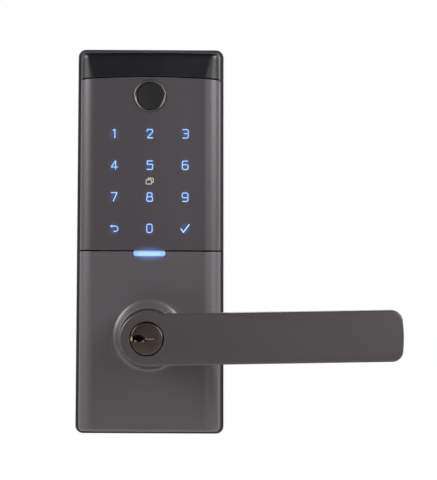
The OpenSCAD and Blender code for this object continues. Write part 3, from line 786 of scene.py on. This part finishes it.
def lower_cover():
    """The lower cover, with the collar that the lever turns in and the light bar's notch"""
    half, count = 22.0, 32
    columns = flat_columns(count, 4)
    common = dict(closed=True, columns=columns, patch=half, in_patch=False)
    rows = closing_rows(LOWER.bottom, 1, flat_face, full_width, 1.2, **common)
    start = rows[-1].z + 0.4
    notch_z = LIGHT.bottom - 0.05
    levels = spread(start, -half, 1.3) + [-half + 2 * half * i / count for i in range(count + 1)]
    levels += spread(half, notch_z, 2.0)[1:] + [notch_z, (notch_z + LOWER_TOP) / 2, LOWER_TOP]

    def beside_collar(z):
        return abs(z) <= half + 1e-6

    body = open_rows(levels, columns, half, beside_collar)
    for row in body:
        row.closed, row.end = True, LOWER.bottom
    steps = 14
    radii = [20.0, 18.6]
    radii += [FLARE_R - (FLARE_R - RIM_R) * math.sin(math.radians(90 * i / steps)) for i in range(steps + 1)]
    chain = [(RIM_R, RIM_D - 0.8)] + arc((RIM_R - 0.45, RIM_D - 0.45), 0.45, 0, 90, 4)
    chain += arc((COLLAR_BORE + 0.3, RIM_D - 0.3), 0.3, 90, 180, 3)
    chain += [(COLLAR_BORE, BUSH_D[1]), (BUSH_R, BUSH_D[1]), (BUSH_R, BUSH_D[0]), (RIM_R, BUSH_D[0])]
    notch_half = LIGHT.right + 0.05
    cell = 2 * half / count
    nearest = round(notch_half / cell)
    middle = SIDE_POINTS + columns.index(0.0)
    notch = (notch_z, middle - nearest, middle + nearest)
    form = grid_cover(rows + body, (0.0, radii, chain, flare), notch)
    slide_columns(form, notch_z, nearest * cell, notch_half)
    obj = form.piece("lower_cover_shell", 1e-6)
    return finish_cover(obj, PAINT_LOWER, "lower_cover")


def slide_columns(form, from_z, was, now):
    """Moves the notch's sides from the nearest grid column to their true place"""
    for v in form.bm.verts:
        x, z = v.co.x / MM, v.co.z / MM
        if z > from_z - 2.1 and -v.co.y / MM > FACE_D - WALL - 1 and abs(abs(x) - was) < 0.01:
            v.co.x = math.copysign(now, x) * MM


def finish_cover(obj, paint, node):
    smooth(obj, 42)
    bevel(obj, 0.28, 55)
    return dress(obj, "base", paint, "graphite_paint", node)


def keypad_panel():
    """The keypad's cover, with the fingerprint sensor's hole"""
    half, count = PANEL.top - SENSOR_Z, 20
    columns = flat_columns(count, 10)

    def beside_sensor(z):
        return z >= SENSOR_Z - half - 1e-6

    levels = [PANEL.bottom, PANEL.bottom + 0.9] + spread(PANEL.bottom + 2.5, SENSOR_Z - half, 2.2)
    levels += [SENSOR_Z - half + 2 * half * i / count for i in range(count + 1)]
    rows = open_rows(levels, columns, half, beside_sensor)
    radii = [SENSOR_HOLE_R + 0.35, SENSOR_HOLE_R]
    form = grid_cover(rows, (SENSOR_Z, radii, []))
    arch(form, PANEL.top - 6, PANEL.top, 0, SEAM_ARCH)
    obj = form.piece("keypad_panel_shell", 1e-6)
    return finish_cover(obj, PAINT_PANEL, "keypad_panel")


def top_cap():
    """The gloss cap, whose flat face leans back from the seam"""
    columns = flat_columns(12, 5)

    def slope(z):
        return FACE_D - 0.02 - math.tan(CAP_SLOPE) * (z - CAP.bottom)

    def narrow(z):
        return SHOULDER_W * (1 - 0.55 * (z - CAP.bottom) / (CAP.top - CAP.bottom))

    common = dict(closed=True, columns=columns, patch=20.0, in_patch=False)
    rows = closing_rows(CAP.top, -1, slope, narrow, CAP_EDGE_R, **common)
    levels = [CAP.bottom, CAP.bottom + 0.9] + spread(CAP.bottom + 2, rows[-1].z - 0.3, 1.0)
    body = open_rows(levels, columns, 20.0, face_at=slope, width_at=narrow)
    for row in body:
        row.closed, row.end, row.inward = True, CAP.top, -1
    form = grid_cover(body + rows[::-1])
    arch(form, CAP.bottom, CAP.top, SEAM_ARCH, TOP_ARCH)
    for x in (-18, 18):
        block(form, (x - 4, x + 4), (FACE_D - 3.6, FACE_D - 2.1), (CAP.bottom - 3.6, CAP.bottom + 2.4))
    obj = form.piece("top_cap_shell", 1e-6)
    smooth(obj, 42)
    bevel(obj, 0.25, 55)
    return dress(obj, "base", GLOSS_BLACK, "gloss_black", "top_cap")


# ---- Light bar and fingerprint sensor ---------------------------------------


def rounded_bar(half_w, half_h, r, steps=6):
    """Outline of a bar with rounded corners, centred on the origin"""
    corners = ((1, 1, 0), (-1, 1, 90), (-1, -1, 180), (1, -1, 270))
    points = []
    for sx, sz, start in corners:
        points += arc((sx * (half_w - r), sz * (half_h - r)), r, start, start + 90, steps)
    return points


def light_bar():
    """A long lens whose front is softly pillowed"""
    form = Form()
    top = PANEL.bottom - 0.12
    half_w, half_h = (LIGHT.right - LIGHT.left) / 2 - 0.3, (top - LIGHT.bottom) / 2
    middle = (top + LIGHT.bottom) / 2
    rim_d = FACE_D + 0.02
    levels = [(0, LIGHT.low), (0, rim_d)]
    levels += [(0.35 * (1 - math.cos(a)), rim_d + 0.26 * math.sin(a)) for a in map(math.radians, (30, 60, 90))]
    loops = []
    for inset, d in levels:
        outline = rounded_bar(half_w - inset, half_h - inset, max(0.15, 0.95 - inset))
        loops.append(form.loop([(x, d, middle + z) for x, z in outline]))
    form.skin(loops)
    form.face(loops[0])
    form.face(loops[-1])
    obj = form.piece("light_bar_lens")
    smooth(obj, 40)
    return dress(obj, "base", light_bar_lens(), "diffuser_white", "light_bar")


def sensor_pieces():
    """The fingerprint sensor's bezel ring and its slightly dished pad"""
    at = (0.0, SENSOR_Z)
    form = Form()
    bore = PAD_R + 0.1
    profile = [(bore, RING.low), (8.6, RING.low), (8.6, RING.low + 1.4), (RING_R, RING.low + 1.4)]
    profile += [(RING_R, FACE_D + 0.1)] + arc((RING_R - 0.25, FACE_D + 0.12), 0.25, 0, 90, 4)
    profile += [(RING_R - 0.35, FACE_D + 0.34), (RING_R - 0.6, FACE_D + 0.05), (bore, FACE_D - 0.45)]
    form.turned(profile, at)
    ring = form.piece("fingerprint_bezel")
    smooth(ring, 30)
    dress(ring, "base", RING_METAL, "sensor_black", "fingerprint_ring")
    form = Form()
    profile = [(0, 18), (PAD_R, 18), (PAD_R, FACE_D - 0.75)]
    profile += arc((PAD_R - 0.25, FACE_D - 0.75), 0.25, 0, 90, 4)
    profile += [(r, FACE_D - 0.5 - 0.18 * (1 - (r / PAD_R) ** 2)) for r in (5.2, 4, 2.6, 1.2, 0)]
    form.turned(profile, at)
    block(form, (-6, 6), (16.4, 18.0), (SENSOR_Z - 6, SENSOR_Z + 6))
    block(form, (-8, 8), (15.4, 16.4), (SENSOR_Z - 6.8, SENSOR_Z + 6.8))
    pad = form.piece("fingerprint_pad")
    smooth(pad, 30)
    return dress(pad, "base", SENSOR_BLACK, "sensor_black", "fingerprint_sensor")


# ---- Lit keypad marks ---------------------------------------------------------


def rounded(points, r, closed=False, steps=5):
    """A polyline whose corners are rounded off"""
    out = []
    count = len(points)
    for i, p in enumerate(points):
        p = Vector(p)
        if not closed and i in (0, count - 1):
            out.append(p)
            continue
        a, b = Vector(points[i - 1]) - p, Vector(points[(i + 1) % count]) - p
        reach = min(r, a.length * 0.49, b.length * 0.49)
        start, end = p + a.normalized() * reach, p + b.normalized() * reach
        for k in range(steps + 1):
            t = k / steps
            out.append(start * (1 - t) ** 2 + p * 2 * t * (1 - t) + end * t * t)
    return out


def ribbon(form, path, width, low, high, at, closed=False):
    """A flat stroke along a path, with round ends"""
    count = len(path)
    stations = []
    for i, p in enumerate(path):
        before = path[i - 1] if closed or i else p
        after = path[(i + 1) % count] if closed or i < count - 1 else p
        along = (after - before).normalized()
        side = Vector((-along.y, along.x)) * width / 2
        stations.append([p + side, p - side])
    rails = [[form.point(at[0] + q.x, d, at[1] + q.y) for q in s for d in (low, high)] for s in stations]
    loops = [[r[0], r[1], r[3], r[2]] for r in rails]
    for i in range(count if closed else count - 1):
        form.bridge(loops[i], loops[(i + 1) % count])
    if closed:
        return
    for end, inner in ((0, 1), (count - 1, count - 2)):
        along = (path[end] - path[inner]).normalized()
        side = Vector((-along.y, along.x))
        cap = [path[end] + width / 2 * (side * math.cos(t) + along * math.sin(t))
               for t in (math.pi * k / 6 for k in range(1, 6))]
        order = (0, 1) if end else (1, 0)
        rim = [rails[end][2 * order[0]: 2 * order[0] + 2]]
        rim += [[form.point(at[0] + q.x, d, at[1] + q.y) for d in (low, high)] for q in cap]
        rim += [rails[end][2 * order[1]: 2 * order[1] + 2]]
        if not end:
            rim[0], rim[-1] = rim[-1], rim[0]
        for a, b in zip(rim, rim[1:]):
            form.face((a[0], a[1], b[1], b[0]))
        form.face([r[0] for r in rim])
        form.face([r[1] for r in rim])


# Half the width and height of a digit, before scaling
W, H = 1.6, 2.35
# Each mark's strokes, as (corner points, corner radius, closed)
GLYPHS = {
    "1": [([(-0.75, 1.75), (0.25, H), (0.25, -H)], 0.15, False)],
    "2": [([(-1.5, 1.3), (-1.5, H), (1.5, H), (1.5, 0.75), (-1.6, -H), (W, -H)], 0.95, False)],
    "3": [([(-1.4, H), (W, H), (W, -H), (-1.4, -H)], 0.95, False), ([(-0.6, 0.1), (1.55, 0.1)], 0, False)],
    "4": [([(0.75, -H), (0.75, H), (-1.75, -1.15), (1.75, -1.15)], 0.12, False)],
    "5": [([(1.5, H), (-1.4, H), (-1.4, 0.45), (W, 0.45), (W, -H), (-1.5, -H)], 0.3, False)],
    "6": [([(1.3, H), (-W, H), (-W, -H), (W, -H), (W, 0.35), (-1.5, 0.35)], 0.95, False)],
    "7": [([(-W, H), (W, H), (-0.45, -H)], 0.12, False)],
    "8": [([(-1.35, 0.15), (-1.35, H), (1.35, H), (1.35, 0.15)], 0.8, True),
          ([(-W, -H), (-W, 0.15), (W, 0.15), (W, -H)], 0.9, True)],
    "9": [([(-1.3, -H), (W, -H), (W, H), (-W, H), (-W, -0.35), (1.5, -0.35)], 0.95, False)],
    "0": [([(-1.5, -H), (-1.5, H), (1.5, H), (1.5, -H)], 1.25, True)],
    "check": [([(-2.15, -0.15), (-0.85, -2.15), (2.3, 2.15)], 0.1, False)],
    "back": [([(-1.2, 1.15)] + arc((0.75, -0.3), 1.45, 90, -90, 14) + [(0.0, -1.75)], 0, False)],
    "card": [([(-2.0, -1.65), (-2.0, 0.75), (1.0, 0.75), (1.0, -1.65)], 0.45, True),
             ([(-0.9, 0.95), (-0.9, 1.65), (2.0, 1.65), (2.0, -0.75), (1.2, -0.75)], 0.45, False)],
}
LAYOUT = (("back", "0", "check"), ("7", "8", "9"), ("4", "5", "6"), ("1", "2", "3"))
GLYPH_SCALE = 0.82
STROKE = 0.42
CARD_STROKE = 0.36
BLEED_STROKE = 0.95


def mark(name, at, finish, slot):
    """One lit mark, printed on the panel's face, with the faint light that bleeds round it"""
    level = face_level(*at)
    for suffix, stroke, low, high, paint in (
        ("glow", BLEED_STROKE, -0.06, 0.012, BLEED), ("print", STROKE, -0.06, 0.04, finish)
    ):
        if name == "card" and suffix == "glow":
            continue
        if name == "card":
            stroke = CARD_STROKE
        form = Form()
        for number, (points, r, closed) in enumerate(GLYPHS[name]):
            path = rounded(points, r, closed) if r else [Vector(p) for p in points]
            path = [p * GLYPH_SCALE for p in path]
            lift = 0.004 * number
            ribbon(form, path, stroke, level + low, level + high + lift, at, closed)
        if name == "back" and suffix == "print":
            head = ((-2.45, 1.15), (-0.95, 2.05), (-0.95, 0.25))
            prism(form, [(at[0] + x * GLYPH_SCALE, at[1] + z * GLYPH_SCALE) for x, z in head],
                  level + low, level + high + 0.006)
        for v in form.bm.verts:
            v.co.y -= (face_level(v.co.x / MM, v.co.z / MM) - level) * MM
        obj = form.piece(f"mark_{name}_{suffix}", 1e-8)
        dress(obj, "base", paint, slot)


def keypad_marks():
    for z, names in zip(KEY_ROWS, LAYOUT):
        for column, name in enumerate(names):
            finish = LIT_CHECK if name == "check" else LIT_PRINT
            mark(name, ((column - 1) * KEY_PITCH, z), finish, "led_lens")
    mark("card", (0.0, CARD_Z), CARD_PRINT, "led_lens")


# ---- Lever and key cylinder -----------------------------------------------------


def lever_outline(inset):
    """The lever's outline, shrunk by inset, as (along, up) points from the top of the hub round its back"""
    r = HUB_R - inset
    half, corner = BAR_HALF - inset, max(0.4, TIP_R - inset)
    end = LEVER_END - inset
    meet = math.degrees(math.asin((half - BAR_DROP) / r))
    along = [t * (end - corner) for t in (0.1 * i for i in range(2, 10))]
    points = arc((0, 0), r, meet, 270, 56)
    points += [(x, -BAR_DROP - half) for x in along]
    points += arc((end - corner, -BAR_DROP - half + corner), corner, -90, 0, 10)
    for i in range(1, BOW_STEPS):
        bow = TIP_BOW * math.sin(math.pi * i / BOW_STEPS)
        points.append((end + bow, -BAR_DROP + (2 * i / BOW_STEPS - 1) * (half - corner)))
    points += arc((end - corner, -BAR_DROP + half - corner), corner, 0, 90, 10)
    points += [(x, -BAR_DROP + half) for x in reversed(along)]
    return points


def turned_up(points, d):
    """Outline points, raised by the lever's rest angle, at one height"""
    c, s = math.cos(LEVER_TILT), math.sin(LEVER_TILT)
    return [(x * c - z * s, d, x * s + z * c) for x, z in points]


def lever_bar():
    """The lever's bar, with a deep round at its back and a small one at its front"""
    back_r, front_r = 3.0, 0.8
    front = LEVER.high
    angles = [math.radians(a) for a in range(0, 91, 15)]
    levels = [(back_r * (1 - math.sin(a)), BAR_BACK + back_r * (1 - math.cos(a))) for a in angles]
    levels += [(0, BAR_BACK + 5), (0, front - front_r - 1.5)]
    levels += [(front_r * (1 - math.cos(a)), front - front_r + front_r * math.sin(a)) for a in angles]
    form = Form()
    loops = [form.loop(turned_up(lever_outline(inset), d)) for inset, d in levels]
    form.skin(loops)
    form.face(loops[0])
    form.face(loops[-1])
    return form.piece("lever_bar")


def lever():
    """The lever's bar and neck, bored for the sleeve, the key cylinder and the grub screw"""
    obj = lever_bar()
    low, front = LEVER.low, LEVER.high
    mouth = BORE_R + 0.3
    neck = [(0, low), (NECK_R - 0.3, low), (NECK_R, low + 0.3), (NECK_R, NECK_TOP), (0, NECK_TOP)]
    bore = [(0, CUT_D), (BORE_R, CUT_D), (BORE_R, front - 0.25), (mouth, front + 0.05), (mouth, front + 3),
            (0, front + 3)]
    sleeve = [(0, CUT_D), (SLEEVE_R, CUT_D), (SLEEVE_R, SLEEVE_TOP), (0, SLEEVE_TOP)]
    combine(obj, tool(lambda f: f.turned(neck, segments=128)), "UNION")
    combine(obj, tool(lambda f: f.turned(bore, segments=128)), "DIFFERENCE")
    combine(obj, tool(lambda f: f.turned(sleeve)), "DIFFERENCE")
    combine(obj, tool(lambda f: block(f, (0, 10.8), (CUT_D, 55.8), (-3.7, 3.7))), "DIFFERENCE")
    screw = tool(lambda f: f.turned([(0, 5), (GRUB_R, 5), (GRUB_R, 20), (0, 20)], segments=32))
    screw.data.transform(Matrix.Translation((0, -GRUB_D * MM, 0)) @ Matrix.Rotation(math.radians(-90), 4, "X"))
    combine(obj, screw, "DIFFERENCE")
    smooth(obj, 28)
    return dress(obj, "lever", PAINT_LEVER, "lever_paint", "lever")


def cut_pin_holes(obj, start, end):
    """Cuts the row of pin chambers, between two distances to the right of the cylinder's axis"""
    profile = [(0, start), (PIN_HOLE_R, start), (PIN_HOLE_R, end), (0, end)]
    for i in range(PIN_COUNT):
        pin = tool(lambda f: f.turned(profile, segments=32))
        place = Matrix.Translation((0, -(PIN_FIRST + PIN_PITCH * i) * MM, 0))
        pin.data.transform(place @ Matrix.Rotation(math.radians(90), 4, "Z"))
        combine(obj, pin, "DIFFERENCE")


def cylinder_shell():
    """The key cylinder's body, with the block that holds the driver pins"""
    form = Form()
    form.turned([(PLUG_BORE, BODY.low), (SHELL_R, BODY.low), (SHELL_R, BODY.high - 0.3),
                 (SHELL_R - 0.3, BODY.high), (PLUG_BORE + 0.15, BODY.high), (PLUG_BORE, BODY.high - 0.15)])
    obj = form.piece("cylinder_shell")
    combine(obj, tool(lambda f: block(f, (6.3, BODY.right), (BODY.low, 55.5), (-3.4, 3.4))), "UNION")
    cut_pin_holes(obj, 4, 20)
    smooth(obj, 30)
    return dress(obj, "lever", BRONZE, "dark_bronze", "cylinder_body")


def plug_blank():
    """The plug before it is cut, with its clip groove and its wider face"""
    collar = BODY.high + 0.15
    low, high = CLIP_GROOVE
    profile = [(0, PLUG.low), (PLUG_R - 0.2, PLUG.low), (PLUG_R, PLUG.low + 0.2), (PLUG_R, low),
               (PLUG_R - 0.8, low), (PLUG_R - 0.8, high), (PLUG_R, high), (PLUG_R, collar),
               (PLUG_FACE_R, collar), (PLUG_FACE_R, PLUG_FACE_D - PLUG_EDGE)]
    profile += arc((PLUG_FACE_R - PLUG_EDGE, PLUG_FACE_D - PLUG_EDGE), PLUG_EDGE, 0, 90, 4)
    profile += [(3, PLUG_FACE_D), (0, PLUG_FACE_D)]
    form = Form()
    form.turned(profile, segments=128)
    return form.piece("plug_turned")


def cylinder_plug():
    """The plug that turns in the body, cut for the key, the pins and the tailpiece, with a bright rim"""
    obj = plug_blank()
    obj.data.materials.append(BRONZE_FACE)
    keyway = [(-7.2, 0.6), (-6.6, 1.35), (-5.2, 1.15), (-4.4, 1.8), (-2.9, 1.9), (-1.7, 1.1), (-0.9, 0.5),
              (0.6, 0.18), (3.4, 0.12), (3.4, -0.3), (0.8, -0.45), (-0.4, -1.0), (-1.6, -1.5), (-2.6, -0.95),
              (-3.6, -1.5), (-4.6, -1.0), (-5.6, -1.5), (-6.6, -1.2), (-7.2, -0.7)]
    cut = tool(lambda f: prism(f, keyway, 36, PLUG_FACE_D + 2))
    # The keyway's cut walls take near-black metal, painted shade for the deep recess
    cut.data.materials.append(KEYWAY_SHADE)
    combine(obj, cut, "DIFFERENCE")
    combine(obj, tool(lambda f: block(f, (-2.4, 2.4), (PLUG.low - 1, 35), (-0.9, 0.9))), "DIFFERENCE")
    cut_pin_holes(obj, 0.4, 9)
    for p in obj.data.polygons:
        on_rim = math.hypot(p.center.x, p.center.z) > (PLUG_FACE_R - PLUG_EDGE) * MM
        if on_rim and -p.center.y > (PLUG_FACE_D - PLUG_EDGE) * MM:
            p.material_index = 2
    smooth(obj, 30)
    return dress(obj, "plug", [BRONZE_FACE, KEYWAY_SHADE, PLUG_RIM], "dark_bronze", "cylinder_plug")


def keyway_wards():
    """Brass guides that show inside the keyway's mouth, each an outline and how far it lies below the face"""
    wards = (
        (0.5, [(-7.1, 0.5), (-6.75, 1.1), (-6.3, 0.9), (-6.2, -0.5), (-6.5, -1.0), (-7.1, -0.6)]),
        (0.35, [(-5.7, -1.4), (-5.3, -0.7), (-4.7, -0.75), (-4.6, -1.0)]),
        (0.3, [(-2.2, -1.2), (-1.7, -0.75), (-1.1, -0.7), (-1.5, -1.45)]),
        (0.12, [(-0.8, -0.1), (-0.8, 0.15), (3.2, 0.02), (3.2, -0.16)]),
    )
    form = Form()
    for depth, outline in wards:
        prism(form, outline, 50, PLUG_FACE_D - depth)
    obj = form.piece("keyway_wards")
    smooth(obj, 20)
    bevel(obj, 0.06, 40, 2)
    return dress(obj, "plug", KEYWAY_BRASS, "pin_brass")


# ---- CAD nodes that keep their shape ----------------------------------------------

CARRIED = (
    (RUBBER_BLACK, "gasket cable_grommet"),
    (HOUSING_BLACK, "rear_housing"),
    (ZINC, "back_plate fixing_posts upper_post motor_bracket square_spindle lever_stops tailpiece"),
    (SCREW, "plate_screws cover_screws board_screws bracket_screws clutch_pin"),
    (BOARD, "light_board touch_board main_board"),
    (PIPE, "keypad_light_guide"),
    (LED, "key_leds"),
    (COPPER, "card_antenna"),
    (BRASS, "board_spacers motor_screw driver_pins chamber_caps key_pins"),
    (CHIP, "board_chips buzzer"),
    (CONNECTOR, "board_connectors"),
    (FLEX, "sensor_flex touch_flex"),
    (MOTOR, "clutch_motor"),
    (LEAD_RED, "motor_leads"),
    (SINTERED, "clutch_shoe spindle_hub drive_sleeve"),
    (SPRING, "clutch_spring lever_set_screw lever_spring pin_springs plug_clip"),
    (NYLON, "lever_washer"),
    (BUSH, "lever_bush"),
)
# Bevel widths of the carried nodes, where they differ from SMALL_EDGE
EDGE = {"rear_housing": 0.35, "gasket": 0.2, "fixing_posts": 0.3, "upper_post": 0.3, "square_spindle": 0.5,
        "tailpiece": 0.3, "back_plate": 0.25, "cable_grommet": 0.25}
SMALL_EDGE = 0.08
WIRES = {"lever_spring", "clutch_spring", "pin_springs", "motor_leads"}


def carry(name, finish):
    """Gives a CAD node its material, and soft edges unless it is a wire"""
    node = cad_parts[name]
    node.data.materials.clear()
    node.data.materials.append(finish)
    if "custom_normal" in node.data.attributes:
        node.data.attributes.remove(node.data.attributes["custom_normal"])
    weld = node.modifiers.new("weld", "WELD")
    weld.merge_threshold = 1e-6
    if name in WIRES:
        smooth(node, 60)
        return
    flat = node.modifiers.new("flat", "DECIMATE")
    flat.decimate_type = "DISSOLVE"
    flat.angle_limit = math.radians(0.5)
    smooth(node, 30)
    bevel(node, EDGE.get(name, SMALL_EDGE), 32, 2)


def carried_nodes():
    for finish, names in CARRIED:
        for name in names.split():
            carry(name, finish)


# ---- Studio ------------------------------------------------------------------------


def room_light():
    """A white background, and for light a room that is brightest behind the lock and dims above and below"""
    world = bpy.data.worlds.new("studio")
    scene.world = world
    world.use_nodes = True
    tree = world.node_tree
    nodes, links = tree.nodes, tree.links
    nodes.clear()
    out = nodes.new("ShaderNodeOutputWorld")
    mix = nodes.new("ShaderNodeMixShader")
    path = nodes.new("ShaderNodeLightPath")
    seen = nodes.new("ShaderNodeBackground")
    room = nodes.new("ShaderNodeBackground")
    seen.inputs["Color"].default_value = (1, 1, 1, 1)
    room.inputs["Color"].default_value = (1.0, 0.97, 1.0, 1)
    split = nodes.new("ShaderNodeSeparateXYZ")
    links.new(nodes.new("ShaderNodeTexCoord").outputs["Generated"], split.inputs[0])
    height = nodes.new("ShaderNodeMath")
    height.operation = "ABSOLUTE"
    links.new(split.outputs["Z"], height.inputs[0])
    both = nodes.new("ShaderNodeMath")
    both.operation = "MULTIPLY"
    links.new(link_ramp(tree, split.outputs["Y"], -0.1, 0.35, 0.1, 0.75), both.inputs[0])
    links.new(link_ramp(tree, height.outputs[0], 0.2, 0.6, 1.0, 0.15), both.inputs[1])
    links.new(both.outputs[0], room.inputs["Strength"])
    links.new(path.outputs["Is Camera Ray"], mix.inputs["Fac"])
    links.new(room.outputs[0], mix.inputs[1])
    links.new(seen.outputs[0], mix.inputs[2])
    links.new(mix.outputs[0], out.inputs["Surface"])


def studio_floor():
    form = Form()
    corners = [(-1, 1), (1, 1), (1, -1), (-1, -1)]
    form.face([form.point(x * FLOOR_HALF_W, d * FLOOR_HALF_D, FLOOR_Z) for x, d in corners])
    floor = form.piece("studio_floor")
    pale = Finish("pale_floor", (0.82, 0.82, 0.82), 0.6)
    pale.shade(pale.noise(3, 3), 0.98, 1.02)
    floor.data.materials.append(pale.material)


def studio_camera():
    """The camera that faces the lock, level with its middle"""
    data = bpy.data.cameras.new("camera")
    camera = bpy.data.objects.new("camera", data)
    scene.collection.objects.link(camera)
    camera.location = CAMERA_PLACE
    camera.rotation_euler = (math.radians(90), math.radians(-CAMERA_ROLL), 0)
    data.lens = CAMERA_LENS
    data.sensor_width = 36
    scene.camera = camera
    scene.view_settings.view_transform = "Standard"


def studio():
    """Pale floor under the lock, soft lamps round it, and the camera"""
    room_light()
    studio_floor()
    lamp("left_box", (-1.0, -0.42, 0.56), (0, -0.02, 0.03), (0.9, 0.7), 21.0)
    lamp("right_box", (1.0, -0.42, 0.56), (0, -0.02, 0.03), (0.9, 0.7), 24.0)
    lamp("right_fill", (0.42, -1.05, 0.24), (0, -0.02, 0.09), (0.25, 0.4), 1.5)
    lamp("low_fill", (0.0, -1.6, -0.65), (0, 0, 0.0), (1.6, 0.6), 5.0)
    lamp("back_fill", (0.2, 1.6, 0.5), (0, 0, 0.03), (1.6, 0.8), 6.0)
    studio_camera()


def lamp(name, place, target, size, power):
    """A soft box that the camera doesn't see"""
    data = bpy.data.lights.new(name, "AREA")
    data.shape = "RECTANGLE"
    data.size, data.size_y = size
    data.energy = power
    obj = bpy.data.objects.new(name, data)
    scene.collection.objects.link(obj)
    obj.location = place
    obj.rotation_euler = (Vector(target) - Vector(place)).to_track_quat("-Z", "Y").to_euler()
    obj.visible_camera = False
    return obj


lower_cover()
keypad_panel()
top_cap()
light_bar()
sensor_pieces()
keypad_marks()
lever()
cylinder_shell()
cylinder_plug()
keyway_wards()
carried_nodes()
studio()
